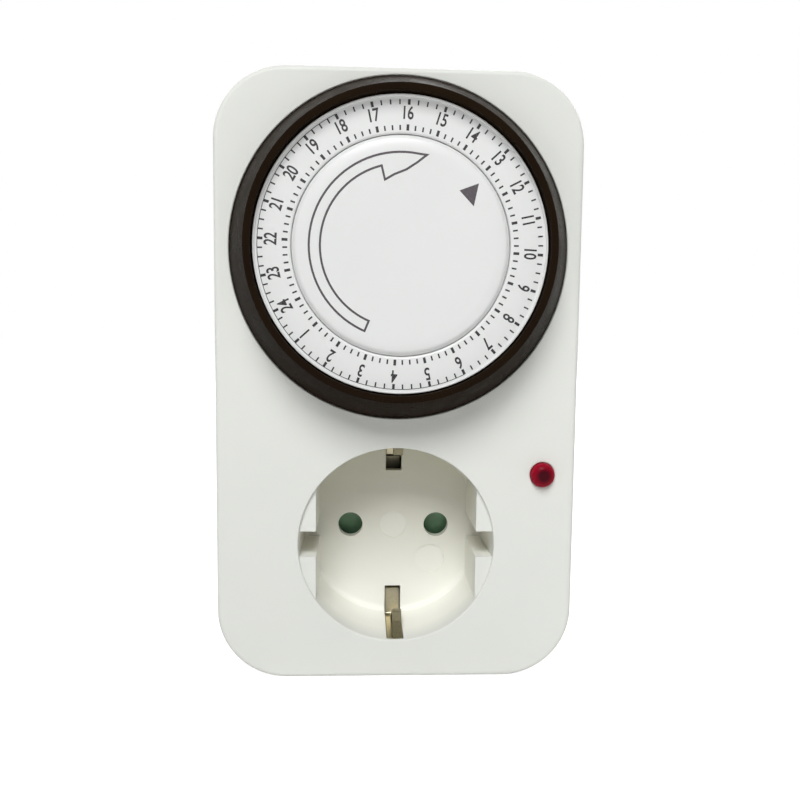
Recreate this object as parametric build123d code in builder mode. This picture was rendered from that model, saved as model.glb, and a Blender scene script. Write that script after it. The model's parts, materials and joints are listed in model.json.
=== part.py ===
"""Plug-in 24-hour timer switch: a housing that plugs into a wall socket, with a socket of its own
and a programming dial that opens and closes the live contact between the two.

The origin is midway between the two plug pins, on the end face of the plug boss. X points right,
Z points up and Y points into the wall. Heights are measured from the plug face towards the user,
so a height h lies at y = -h. All sizes are in millimetres.
"""

import os
from math import cos, pi, radians, sin

from build123d import *

os.makedirs("parts", exist_ok=True)

# ---------------------------------------------------------------- driving dimensions

# Plug and socket, standard sizes of the two-pin system with side earth contacts
pin_spacing = 19.0
pin_radius = 2.4
pin_length = 19.0
well_radius = 19.75
well_depth = 17.5
boss_radius = 19.2
boss_length = 18.5
boss_flat = 15.9
boss_groove_width = 5.4
boss_groove_depth = 1.2
contact_hole_radius = 2.7
ledge_offset = 16.2
ledge_drop = 0.8
ledge_notch_width = 5.3

# Housing
housing_depth = 34.0
rear_shell_depth = 9.0
corner_radius = 14.0
wall = 2.2
front_edge_radius = 1.4
rear_edge_radius = 3.0
boss_edge_chamfer = 0.8
boss_end_wall = 3.0
dial_to_side = 3.0
dial_to_top = 1.6
dial_to_well = 3.85
well_to_bottom = 5.6

# Dial
hours = 24
steps_per_hour = 4
dial_rest_angle = -137.6
ring_base_radius = 33.0
ring_slope = 4.0
ring_width = 5.5
ring_rise = 9.9
number_ring_width = 7.3
number_ring_rise = 7.5
lip_width = 0.35
lip_rise = 0.55
centre_disc_rise = 8.0
centre_disc_thickness = 1.3
centre_disc_chamfer = 0.4
dial_plate_thickness = 1.2
dial_wall = 1.8
tappet_travel = 3.2
tappet_gap = 0.12
tappet_depth = 3.9
tail_length_along_radius = 2.0
tail_width = 0.66
rim_thickness = 3.2

# Clearances
running = 0.05
sliding = 0.25
free_gap = 0.3
dial_opening_gap = 0.3

# Gear train
rim_pitch_inset = 2.0
output_teeth = 12
wheel_teeth = 48
pinion_teeth = 8
modules_to_ring = 66
wheel_thickness = 1.2
arbor_radius = 0.6
output_shaft_radius = 1.25
output_angle = -55.0
third_angle = 100.0
second_angle = 158.0
first_angle = 135.0
motor_angle = 67.0

# Movement
plate_inset = 3.0
front_plate_thickness = 1.8
back_plate_thickness = 1.0
plate_gap = 7.1
post_radius = 3.95
post_bore_radius = 2.5
frame_pillar_radius = 2.0
frame_pillar_inset = 3.0
frame_pillar_angles = (7.0, 45.0, 135.0, 214.0)
motor_wall = 0.8
coil_inset = 0.8
coil_depth = 5.0
magnet_gap = 1.2

# Fasteners
screw_inset = 8.5
screw_shank_radius = 1.4
screw_head_radius = 3.0
screw_head_height = 1.8
screw_pillar_radius = 3.3
screw_reach = 12.0

# Switching
lever_width = 4.0
lever_pin_radius = 0.8
blade_to_wall = 5.6
blade_to_plate = 6.7
blade_to_strip = 4.3
arm_to_plate = 3.4
hub_to_plate = 3.0
pivot_to_blade_root = 11.2
blade_thickness = 0.3
strip_thickness = 0.6
feed_share = 0.15
override_travel = 4.0
override_to_face = 16.5

# Contacts, shutter and lamp
clip_gap = 2.5
clip_length = 11.5
clip_to_tray = 1.0
shutter_tray_depth = 4.8
earth_slot_width = 3.5
earth_slot_top_start = 12.2
earth_slot_bottom_start = 14.0
earth_slot_skin = 0.8
earth_clip_reach = 17.0
earth_clip_width = 2.4
earth_clip_offset = 0.3
earth_strip_width = 3.8
lead_thickness = 0.5
lens_radius = 2.43
lens_inset = 6.7
lens_z = 14.5
lens_flange_radius = 3.2
lamp_radius = 2.0
lamp_length = 9.0
mark_depth = 0.15

# ---------------------------------------------------------------- derived sizes

cup_radius = well_radius + wall
dial_z = cup_radius + dial_to_well + ring_base_radius
socket_to_bottom = cup_radius + well_to_bottom
housing_width = 2 * (ring_base_radius + dial_to_side)
housing_height = socket_to_bottom + dial_z + ring_base_radius + dial_to_top
ring_top_radius = ring_base_radius - ring_slope
number_ring_radius = ring_base_radius - ring_width
centre_disc_radius = number_ring_radius - number_ring_width
rim_pitch_radius = ring_base_radius - rim_pitch_inset
plate_radius = ring_base_radius - plate_inset
lens_x = housing_width / 2 - lens_inset

rear_height = boss_length
front_height = boss_length + housing_depth
split_height = rear_height + rear_shell_depth
rear_inside = rear_height + wall
front_inside = front_height - wall
housing_z = housing_height / 2 - socket_to_bottom
floor_height = front_height - well_depth
floor_underside = floor_height - wall
contact_x = pin_spacing / 2

steps = hours * steps_per_hour
step_angle = 360 / steps
rim_module = 2 * rim_pitch_radius / steps
tappet_bottom = front_height - tappet_depth
rim_top = tappet_bottom - tappet_travel - 0.5
rim_bottom = rim_top - rim_thickness
tail_pressed = rim_bottom - tappet_travel
front_plate_top = tail_pressed - free_gap
front_plate_bottom = front_plate_top - front_plate_thickness
back_plate_top = front_plate_bottom - plate_gap
back_plate_bottom = back_plate_top - back_plate_thickness
lever_z = dial_z - (number_ring_radius + free_gap + tail_length_along_radius / 2 + 0.3)

screw_x = housing_width / 2 - screw_inset
screw_top_z = housing_height - socket_to_bottom - screw_inset
screw_bottom_z = screw_inset - socket_to_bottom
screw_places = [(x, z) for x in (-screw_x, screw_x) for z in (screw_bottom_z, screw_top_z)]


def front_plane(height, x=0.0, z=0.0):
    """A sketch plane at a height, seen from the front: local x is X and local y is Z."""
    return Plane(origin=(x, -height, z), x_dir=(1, 0, 0), z_dir=(0, -1, 0))


def section_plane(x=0.0, z=0.0):
    """A sketch plane through an axis at x, z: local x is the radius and local y the height."""
    return Plane(origin=(x, 0, z), x_dir=(1, 0, 0), z_dir=(0, 0, -1))


def side_plane(x=0.0):
    """A sketch plane seen from the side: local x is Z and local y the height."""
    return Plane(origin=(x, 0, 0), x_dir=(0, 0, 1), z_dir=(1, 0, 0))


def dial_axis(x, z):
    """The line through x, z that points at the user."""
    return Axis((x, 0, z), (0, -1, 0))


def turned(profile, x, z):
    """A solid of revolution about the line through x, z, from points (radius, height)."""
    with BuildPart() as body:
        with BuildSketch(section_plane(x, z)):
            with BuildLine():
                Polyline(*profile, close=True)
            make_face()
        revolve(axis=dial_axis(x, z))
    return body.part


def prism(points, plane, amount, both=False):
    """A straight prism on a closed outline."""
    with BuildPart() as body:
        with BuildSketch(plane):
            with BuildLine():
                Polyline(*points, close=True)
            make_face()
        extrude(amount=amount, both=both)
    return body.part


def beside(point, distance, angle):
    """The point at a distance and an angle from another, seen from the front."""
    return (point[0] + distance * cos(radians(angle)), point[1] + distance * sin(radians(angle)))


def tooth_points(teeth, phase, root_radius, tip_radius, root_half, tip_half):
    """The outline of a toothed wheel with straight flanks, four points to a tooth."""
    points = []
    for tooth in range(teeth):
        centre = phase + 360 * tooth / teeth
        flank = (
            (root_radius, -root_half),
            (tip_radius, -tip_half),
            (tip_radius, tip_half),
            (root_radius, root_half),
        )
        for radius, half in flank:
            turn = radians(centre) + half / radius
            points.append((radius * cos(turn), radius * sin(turn)))
    return points


def gear(teeth, module, phase, centre, height, thickness, tip=0.30, root=0.98):
    """A gear at a centre, from a height towards the user; tip and root half widths are in modules."""
    pitch_radius = teeth * module / 2
    outline = tooth_points(
        teeth,
        phase,
        pitch_radius - 1.15 * module,
        pitch_radius + 0.85 * module,
        root * module,
        tip * module,
    )
    return prism(outline, front_plane(height, *centre), thickness)


def meshed_phase(teeth, other_teeth, other_phase, angle):
    """The phase of a gear that meshes with another, which lies at the opposite end of the angle."""
    return angle + 180 + (other_teeth * (angle - other_phase) - 180) / teeth


def cylinder_between(radius, centre, low, high):
    """A round bar along the height."""
    with BuildPart() as body:
        with BuildSketch(front_plane(low, *centre)):
            Circle(radius)
        extrude(amount=high - low)
    return body.part


def lead(*points):
    """A square wire with straight runs between points given as (x, height, z)."""
    with BuildPart() as body:
        with BuildLine() as path:
            Polyline(*[(x, -height, z) for x, height, z in points])
        with BuildSketch(Plane(origin=path.line @ 0, z_dir=path.line % 0)):
            Rectangle(lead_thickness, lead_thickness)
        sweep(path=path.line, transition=Transition.RIGHT)
    return body.part


def finish(body, name):
    """Label a finished piece and write it."""
    body.part.label = name
    export_step(body.part, f"parts/{name}.step")


# ---------------------------------------------------------------- gear centres

dial_centre = (0.0, dial_z)
frame_pillars = [beside(dial_centre, plate_radius - frame_pillar_inset, angle) for angle in frame_pillar_angles]
output_distance = rim_pitch_radius + output_teeth * rim_module / 2
train_module = ring_base_radius / modules_to_ring
train_distance = (wheel_teeth + pinion_teeth) * train_module / 2
output_centre = beside(dial_centre, output_distance, output_angle)
third_centre = beside(output_centre, train_distance, third_angle)
second_centre = beside(third_centre, train_distance, second_angle)
first_centre = beside(second_centre, train_distance, first_angle)
motor_centre = beside(first_centre, train_distance, motor_angle)

# ---------------------------------------------------------------- housing

ring_opening_radius = ring_base_radius + dial_opening_gap
lamp_tube_radius = lens_flange_radius + 1.4
opening_depth = tappet_depth + tappet_travel + free_gap
override_z = lever_z
override_height = front_height - override_to_face
override_slot = 5.0
override_knob = 7.0


def left_plane(x, z):
    """A sketch plane on the left side at the override's height: local x is Z, extruding outwards."""
    return Plane(origin=(x, -override_height, z), x_dir=(0, 0, 1), z_dir=(-1, 0, 0))


with BuildPart() as front_housing:
    with BuildSketch(front_plane(split_height, 0, housing_z)):
        RectangleRounded(housing_width, housing_height, corner_radius)
    extrude(amount=front_height - split_height)
    fillet(front_housing.edges().group_by(Axis.Y)[0], front_edge_radius)
    with BuildSketch(front_plane(split_height, 0, housing_z)):
        RectangleRounded(housing_width - 2 * wall, housing_height - 2 * wall, corner_radius - wall)
    extrude(amount=front_inside - split_height, mode=Mode.SUBTRACT)
    # opening for the dial, deep enough to thin the top wall beside the tappets
    with BuildSketch(front_plane(front_height, *dial_centre)):
        Circle(ring_opening_radius)
    extrude(amount=-opening_depth, mode=Mode.SUBTRACT)
    # screw pillars
    with BuildSketch(front_plane(split_height)):
        with Locations(*screw_places):
            Circle(screw_pillar_radius)
    extrude(amount=front_inside - split_height)
    with BuildSketch(front_plane(split_height)):
        with Locations(*screw_places):
            Circle(screw_shank_radius + running)
    extrude(amount=screw_reach + 2.0, mode=Mode.SUBTRACT)
    # tube that holds the lamp behind its lens
    with BuildSketch(front_plane(front_inside - lamp_length - 2, lens_x, lens_z)):
        Circle(lamp_tube_radius)
    extrude(amount=lamp_length + 2)
    with BuildSketch(front_plane(front_inside - lamp_length - 2, lens_x, lens_z)):
        Circle(lens_flange_radius + running)
    extrude(amount=lamp_length + 2, mode=Mode.SUBTRACT)
    with BuildSketch(front_plane(front_height, lens_x, lens_z)):
        Circle(lens_radius + running)
    extrude(amount=-wall, mode=Mode.SUBTRACT)
    # socket cup with its floor
    with BuildSketch(front_plane(floor_underside)):
        Circle(cup_radius)
    extrude(amount=front_inside - floor_underside)
    with BuildSketch(front_plane(floor_height)):
        Circle(well_radius)
    extrude(amount=well_depth, mode=Mode.SUBTRACT)
    # side ledges, each with a guide notch
    with BuildSketch(front_plane(floor_height)):
        Circle(well_radius + wall / 2)
        Rectangle(2 * ledge_offset, 3 * well_radius, mode=Mode.SUBTRACT)
        Rectangle(2 * well_radius, ledge_notch_width, mode=Mode.SUBTRACT)
    extrude(amount=well_depth - ledge_drop)
    # contact holes
    with BuildSketch(front_plane(floor_height)):
        with Locations((-contact_x, 0), (contact_x, 0)):
            Circle(contact_hole_radius)
    extrude(amount=-wall, mode=Mode.SUBTRACT)
    # slots for the earth clips, in the floor and up the wall
    top_length = cup_radius - earth_slot_top_start
    bottom_length = cup_radius - earth_slot_bottom_start
    with BuildSketch(front_plane(floor_underside)):
        with Locations((0, cup_radius - top_length / 2)):
            Rectangle(earth_slot_width, top_length)
        with Locations((0, bottom_length / 2 - cup_radius)):
            Rectangle(earth_slot_width, bottom_length)
    extrude(amount=well_depth + wall - earth_slot_skin, mode=Mode.SUBTRACT)
    # two bare round marks in the floor
    with BuildSketch(front_plane(floor_height)):
        Circle(2.9)
        with Locations((8.2, -7.7)):
            Circle(3.2)
    extrude(amount=-mark_depth, mode=Mode.SUBTRACT)
    # slot for the manual override
    with BuildSketch(left_plane(-housing_width / 2, override_z)):
        SlotOverall(override_slot + override_knob + override_travel + 0.6, override_slot)
    extrude(amount=-wall, mode=Mode.SUBTRACT)
finish(front_housing, "front_housing")

boss_inner_radius = boss_radius - wall
strip_groove = strip_thickness + running
pin_root_radius = 2.2

with BuildPart() as rear_housing:
    with BuildSketch(front_plane(rear_height, 0, housing_z)):
        RectangleRounded(housing_width, housing_height, corner_radius)
    extrude(amount=rear_shell_depth)
    fillet(rear_housing.edges().group_by(Axis.Y)[-1], rear_edge_radius)
    with BuildSketch(front_plane(rear_inside, 0, housing_z)):
        RectangleRounded(housing_width - 2 * wall, housing_height - 2 * wall, corner_radius - wall)
    extrude(amount=rear_shell_depth, mode=Mode.SUBTRACT)
    # plug boss with its two flats and guide grooves
    with BuildSketch(front_plane(0)):
        Circle(boss_radius)
        Rectangle(2 * boss_flat, 3 * boss_radius, mode=Mode.INTERSECT)
    extrude(amount=rear_inside)
    chamfer(rear_housing.edges().group_by(Axis.Y)[-1], boss_edge_chamfer)
    with BuildSketch(front_plane(0)):
        with Locations((boss_flat, 0), (-boss_flat, 0)):
            Rectangle(2 * boss_groove_depth, boss_groove_width)
    extrude(amount=boss_length, mode=Mode.SUBTRACT)
    with BuildSketch(front_plane(boss_end_wall)):
        Circle(boss_inner_radius)
        Rectangle(2 * (boss_flat - wall), 3 * boss_radius, mode=Mode.INTERSECT)
    extrude(amount=rear_inside - boss_end_wall, mode=Mode.SUBTRACT)
    # grooves for the earth strips, which run on through the rear wall
    with BuildSketch(front_plane(1.5)):
        with Locations((0, boss_radius), (0, -boss_radius)):
            Rectangle(earth_strip_width + 2 * sliding, 2 * strip_groove)
    extrude(amount=rear_inside - 1.5, mode=Mode.SUBTRACT)
    # holes for the plug pins
    with BuildSketch(front_plane(0)):
        with Locations((-contact_x, 0), (contact_x, 0)):
            Circle(pin_root_radius + running)
    extrude(amount=boss_end_wall, mode=Mode.SUBTRACT)
    # screw columns
    with BuildSketch(front_plane(rear_height)):
        with Locations(*screw_places):
            Circle(screw_pillar_radius + 0.6)
    extrude(amount=rear_shell_depth)
    with BuildSketch(front_plane(rear_height)):
        with Locations(*screw_places):
            Circle(screw_shank_radius + running)
    extrude(amount=rear_shell_depth, mode=Mode.SUBTRACT)
    with BuildSketch(front_plane(rear_height)):
        with Locations(*screw_places):
            Circle(screw_head_radius + sliding)
    extrude(amount=screw_head_height + 1.0, mode=Mode.SUBTRACT)
    # posts that carry the movement
    with BuildSketch(front_plane(rear_inside)):
        with Locations(*frame_pillars):
            Circle(frame_pillar_radius)
    extrude(amount=back_plate_bottom - rear_inside)
finish(rear_housing, "rear_housing")

head_bottom = rear_height + 1.0
with BuildPart() as housing_screws:
    with BuildSketch(front_plane(head_bottom)):
        with Locations(*screw_places):
            Circle(screw_head_radius)
    extrude(amount=screw_head_height)
    with BuildSketch(front_plane(head_bottom + screw_head_height)):
        with Locations(*screw_places):
            Circle(screw_shank_radius)
    extrude(amount=split_height + screw_reach - head_bottom - screw_head_height)
finish(housing_screws, "housing_screws")

# ---------------------------------------------------------------- plug pins

pin_tip_chamfer = 1.3
pin_head_radius = 3.4
pin_head_height = 1.2
pin_stub_radius = 1.4
foot_height = boss_end_wall + pin_head_height
foot_thickness = strip_thickness

for name, x in (("plug_pin_live", -contact_x), ("plug_pin_neutral", contact_x)):
    with BuildPart() as plug_pin:
        with BuildSketch(front_plane(0, x)):
            Circle(pin_radius)
        extrude(amount=-pin_length)
        chamfer(plug_pin.edges().group_by(Axis.Y)[-1], pin_tip_chamfer)
        with BuildSketch(front_plane(0, x)):
            Circle(pin_root_radius)
        extrude(amount=boss_end_wall)
        with BuildSketch(front_plane(boss_end_wall, x)):
            Circle(pin_head_radius)
        extrude(amount=pin_head_height)
        with BuildSketch(front_plane(foot_height, x)):
            Circle(pin_stub_radius)
        extrude(amount=foot_thickness + 0.8)
    finish(plug_pin, name)

# ---------------------------------------------------------------- socket contacts

clip_top = floor_underside - shutter_tray_depth - clip_to_tray
clip_bottom = clip_top - clip_length
clip_web_x = contact_x + pin_radius + 0.7
leaf_length = clip_web_x + strip_thickness - contact_x + 2.6
mouth_flare = 0.7


def clip_outline(side):
    """Two leaves and a web around one socket contact, as seen from the front; side is -1 or 1."""
    web = clip_web_x + strip_thickness
    tip = web - leaf_length
    inner = clip_gap
    outer = clip_gap + strip_thickness
    return [
        (side * web, outer),
        (side * contact_x, outer),
        (side * tip, outer + mouth_flare),
        (side * tip, inner + mouth_flare),
        (side * contact_x, inner),
        (side * clip_web_x, inner),
        (side * clip_web_x, -inner),
        (side * contact_x, -inner),
        (side * tip, -inner - mouth_flare),
        (side * tip, -outer - mouth_flare),
        (side * contact_x, -outer),
        (side * web, -outer),
    ]


with BuildPart() as neutral_contact:
    add(prism(clip_outline(1), front_plane(clip_bottom), clip_top - clip_bottom))
    # riser from the pin and the foot riveted on the pin
    with BuildSketch(front_plane(foot_height)):
        with Locations((clip_web_x + strip_thickness / 2, 0)):
            Rectangle(strip_thickness, 2 * clip_gap)
    extrude(amount=clip_bottom - foot_height)
    with BuildSketch(front_plane(foot_height)):
        with Locations(((contact_x - pin_head_radius + clip_web_x) / 2, 0)):
            Rectangle(clip_web_x - contact_x + pin_head_radius, 2 * clip_gap)
        with Locations((contact_x, 0)):
            Circle(pin_stub_radius + running, mode=Mode.SUBTRACT)
    extrude(amount=foot_thickness)
finish(neutral_contact, "neutral_contact")

blade_z = lever_z
blade_height = front_plate_bottom - blade_to_plate
blade_root_x = blade_to_wall + wall - housing_width / 2
lever_pivot_x = blade_root_x + pivot_to_blade_root
blade_tip_x = -3.6
rivet_x = -5.2
rivet_radius = 1.2
rivet_height = 1.0
live_strip_height = blade_height - blade_to_strip
feed_height = rear_inside + feed_share * (live_strip_height - rear_inside)
feed_z = 12.0

with BuildPart() as live_contact:
    add(prism(clip_outline(-1), front_plane(clip_bottom), clip_top - clip_bottom))
    # strip from the upper leaf to the place under the moving blade
    strip_left = rivet_x - 2.0
    strip_right = rivet_x + 2.0
    leaf_top = clip_gap + strip_thickness
    with BuildSketch(front_plane(live_strip_height)):
        with BuildLine():
            Polyline(
                (-contact_x - 2.0, leaf_top - 0.1),
                (-contact_x + 1.0, leaf_top - 0.1),
                (strip_right, leaf_top + 5.0),
                (strip_right, blade_z + 2.0),
                (strip_left, blade_z + 2.0),
                (strip_left, leaf_top + 6.5),
                (-contact_x - 2.0, leaf_top + 2.5),
                close=True,
            )
        make_face()
    extrude(amount=strip_thickness)
    # fixed rivet
    with BuildSketch(front_plane(live_strip_height + strip_thickness, rivet_x, blade_z)):
        Circle(rivet_radius)
    extrude(amount=blade_height - rivet_height - running - live_strip_height - strip_thickness)
finish(live_contact, "live_contact")

terminal_x = blade_root_x - 0.4
with BuildPart() as live_feed:
    # foot riveted on the live pin
    with BuildSketch(front_plane(foot_height)):
        with Locations((-contact_x, (feed_z - pin_head_radius) / 2)):
            Rectangle(4.0, feed_z + pin_head_radius)
        with Locations((-contact_x, 0)):
            Circle(pin_stub_radius + running, mode=Mode.SUBTRACT)
    extrude(amount=foot_thickness)
    # riser up the boss
    with BuildSketch(front_plane(foot_height)):
        with Locations((-contact_x, feed_z - strip_thickness / 2)):
            Rectangle(4.0, strip_thickness)
    extrude(amount=feed_height + strip_thickness - foot_height)
    # flat run to the root of the moving blade
    with BuildSketch(front_plane(feed_height)):
        with BuildLine():
            Polyline(
                (-contact_x + 2.0, feed_z - strip_thickness),
                (-contact_x + 2.0, blade_z + 2.0),
                (terminal_x - 3.0, blade_z + 2.0),
                (terminal_x - 3.0, blade_z - 2.0),
                (-contact_x - 2.0, blade_z - 2.0),
                (-contact_x - 2.0, feed_z - strip_thickness),
                close=True,
            )
        make_face()
    extrude(amount=strip_thickness)
    # upright terminal with a folded top for the blade
    with BuildSketch(front_plane(feed_height)):
        with Locations((terminal_x - 3.0 + strip_thickness / 2, blade_z)):
            Rectangle(strip_thickness, 4.0)
    extrude(amount=blade_height + blade_thickness - feed_height)
    with BuildSketch(front_plane(blade_height)):
        with Locations((terminal_x - 1.5, blade_z)):
            Rectangle(3.0, 4.0)
    extrude(amount=blade_thickness)
finish(live_feed, "live_feed")

with BuildPart() as switch_blade:
    # thin leaf with a folded stiffening lip, and the moving rivet
    with BuildSketch(front_plane(blade_height)):
        with Locations(((blade_root_x + blade_tip_x) / 2, blade_z)):
            Rectangle(blade_tip_x - blade_root_x, 4.0)
    extrude(amount=blade_thickness)
    with BuildSketch(front_plane(blade_height, rivet_x, blade_z)):
        Circle(rivet_radius)
    extrude(amount=-rivet_height)
finish(switch_blade, "switch_blade")

base_height = feed_height + strip_thickness
base_width = 9.0
base_foot = 1.6
with BuildPart() as switch_base:
    # moulded block between the live feed and the fixed contact strip, with a slot for the terminal
    with BuildSketch(front_plane(base_height)):
        with Locations(((terminal_x - 2.0 + strip_right) / 2, blade_z)):
            Rectangle(strip_right - terminal_x + 2.0, base_width)
    extrude(amount=live_strip_height - base_height)
    with BuildSketch(front_plane(live_strip_height)):
        with Locations((terminal_x, blade_z)):
            Rectangle(3.6, 4.0)
    extrude(amount=blade_height - live_strip_height)
    # foot on the rear wall of the housing
    with BuildSketch(front_plane(rear_inside, lever_pivot_x, blade_z)):
        with GridLocations(0, base_width - base_foot, 1, 2):
            Rectangle(10.0, base_foot)
    extrude(amount=base_height - rear_inside)
finish(switch_base, "switch_base")

# ---------------------------------------------------------------- earth bracket

clip_z = cup_radius - wall / 2
strip_z = boss_radius - strip_thickness / 2
cross_height = 24.0

with BuildPart() as earth_bracket:
    with BuildSketch(side_plane()):
        for side in (1, -1):
            with BuildLine():
                lower = Polyline(
                    (0, cross_height),
                    (side * (strip_z - 1.2), cross_height),
                    (side * strip_z, cross_height - 2.4),
                    (side * strip_z, 1.8),
                )
            trace(lower, line_width=strip_thickness)
    extrude(amount=earth_strip_width / 2, both=True)
    with BuildSketch(side_plane(earth_clip_offset)):
        for side in (1, -1):
            with BuildLine():
                upper = Polyline(
                    (side * (strip_z - 2.0), cross_height),
                    (side * clip_z, cross_height + 3.0),
                    (side * clip_z, floor_height + 0.5),
                    (side * earth_clip_reach, floor_height + 7.0),
                    (side * earth_clip_reach, floor_height + 8.0),
                    (side * (earth_clip_reach + 1.7), floor_height + 11.0),
                    (side * clip_z, floor_height + 15.0),
                )
            trace(upper, line_width=strip_thickness * 0.8)
    extrude(amount=earth_clip_width / 2, both=True)
finish(earth_bracket, "earth_bracket")

# ---------------------------------------------------------------- shutter

tray_floor = floor_underside - shutter_tray_depth
tray_top_z = 6.0
tray_bottom_z = -13.5
tray_half_width = 15.0
tray_wall = 1.0
shutter_half = 3.4

with BuildPart() as shutter_tray:
    with BuildSketch(front_plane(tray_floor, 0, (tray_top_z + tray_bottom_z) / 2)):
        Rectangle(2 * tray_half_width, tray_top_z - tray_bottom_z)
    extrude(amount=shutter_tray_depth)
    with BuildSketch(front_plane(tray_floor + 1.6, 0, (tray_top_z + tray_bottom_z) / 2)):
        Rectangle(2 * (tray_half_width - tray_wall), tray_top_z - tray_bottom_z - 2 * tray_wall)
    extrude(amount=shutter_tray_depth, mode=Mode.SUBTRACT)
    with BuildSketch(front_plane(tray_floor)):
        with Locations((-contact_x, 0), (contact_x, 0)):
            Circle(contact_hole_radius + 0.2)
    extrude(amount=1.6, mode=Mode.SUBTRACT)
finish(shutter_tray, "shutter_tray")

shutter_low = tray_floor + 1.6 + sliding
shutter_high = floor_underside - sliding
shutter_side = tray_half_width - tray_wall - sliding
with BuildPart() as shutter:
    # two ramps that the plug pins push aside, joined by a bridge
    for x in (-contact_x, contact_x):
        with BuildSketch(side_plane(x)):
            with BuildLine():
                Polyline(
                    (-shutter_half, shutter_low),
                    (shutter_half, shutter_low),
                    (shutter_half, shutter_high),
                    (shutter_half - 1.6, shutter_high),
                    (-shutter_half, shutter_low + 0.8),
                    close=True,
                )
            make_face()
        extrude(amount=shutter_side - contact_x, both=True)
    with BuildSketch(front_plane(shutter_low)):
        Rectangle(2 * contact_x, 2 * shutter_half)
    extrude(amount=0.8)
finish(shutter, "shutter")

spring_start = -shutter_half - 0.1
spring_end = tray_bottom_z + tray_wall + 0.1
spring_folds = 6
with BuildPart() as shutter_spring:
    # folded wire spring that pushes the shutter back over the holes
    spring_points = []
    for fold in range(spring_folds + 1):
        fold_z = spring_start + (spring_end - spring_start) * fold / spring_folds
        spring_points.append((1.6 if fold % 2 else -1.6, fold_z))
    with BuildSketch(front_plane(shutter_low + 0.3)):
        with BuildLine():
            spring_line = Polyline(*spring_points)
        trace(spring_line, line_width=0.4)
        with Locations((0, (spring_start + spring_end) / 2)):
            Rectangle(6.0, spring_start - spring_end, mode=Mode.INTERSECT)
    extrude(amount=0.5)
finish(shutter_spring, "shutter_spring")

# ---------------------------------------------------------------- indicator lamp

lens_bottom = front_inside - 1.0
lens_rim = front_height + 0.4
lens_rise = 1.5
with BuildPart() as indicator_lens:
    with BuildSketch(section_plane(lens_x, lens_z)):
        with BuildLine():
            dome = TangentArc((0, lens_rim + lens_rise), (lens_radius, lens_rim), tangent=(1, 0))
            Polyline(
                dome @ 1,
                (lens_radius, front_inside),
                (lens_flange_radius, front_inside),
                (lens_flange_radius, lens_bottom),
                (0, lens_bottom),
                dome @ 0,
            )
        make_face()
    revolve(axis=dial_axis(lens_x, lens_z))
finish(indicator_lens, "indicator_lens")

lamp_top = lens_bottom - 0.2
lamp_bottom = lamp_top - lamp_length
resistor_top = lamp_bottom - 6.0
lead_z = cup_radius + 2.05
with BuildPart() as neon_lamp:
    # glass bulb with a rounded end, a short lead to the resistor and a long one to the live contact
    with BuildSketch(front_plane(lamp_bottom, lens_x, lens_z)):
        Circle(lamp_radius)
    extrude(amount=lamp_length)
    chamfer(neon_lamp.edges().group_by(Axis.Y)[0], lamp_radius * 0.4)
    add(lead((lens_x - 0.9, lamp_bottom, lens_z), (lens_x - 0.9, resistor_top, lens_z)))
    live_top = live_strip_height + strip_thickness
    add(
        lead(
            (lens_x + 0.9, lamp_bottom, lens_z),
            (lens_x + 0.9, live_top + 1.0, lens_z),
            (lens_x + 0.9, live_top + 1.0, lead_z),
            (strip_right - 1.5, live_top + 1.0, lead_z),
            (strip_right - 1.5, live_top, lead_z),
        )
    )
finish(neon_lamp, "neon_lamp")

resistor_radius = 1.2
resistor_half = 3.2
neutral_web = clip_web_x + strip_thickness
with BuildPart() as neon_resistor:
    # film resistor lying across the lamp's lead, with its own lead to the neutral contact
    resistor_x = lens_x - 0.9
    resistor_height = resistor_top - resistor_radius
    with BuildSketch(Plane(origin=(resistor_x, -resistor_height, lens_z), z_dir=(0, 0, -1))):
        Circle(resistor_radius)
    extrude(amount=resistor_half, both=True)
    add(
        lead(
            (resistor_x, resistor_height, lens_z - resistor_half),
            (resistor_x, resistor_height, lens_z - resistor_half - 1.8),
            (resistor_x, clip_top - 0.5, lens_z - resistor_half - 1.8),
            (resistor_x, clip_top - 0.5, 0),
            (neutral_web, clip_top - 0.5, 0),
        )
    )
finish(neon_resistor, "neon_resistor")

# ---------------------------------------------------------------- movement frame

frame_low_z = cup_radius + 0.6
frame_left = 10.0 - housing_width / 2
frame_right = housing_width / 2 - 6.0
back_low_z = output_centre[1] - 5.2
back_left = output_centre[0] - 12.0

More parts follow.
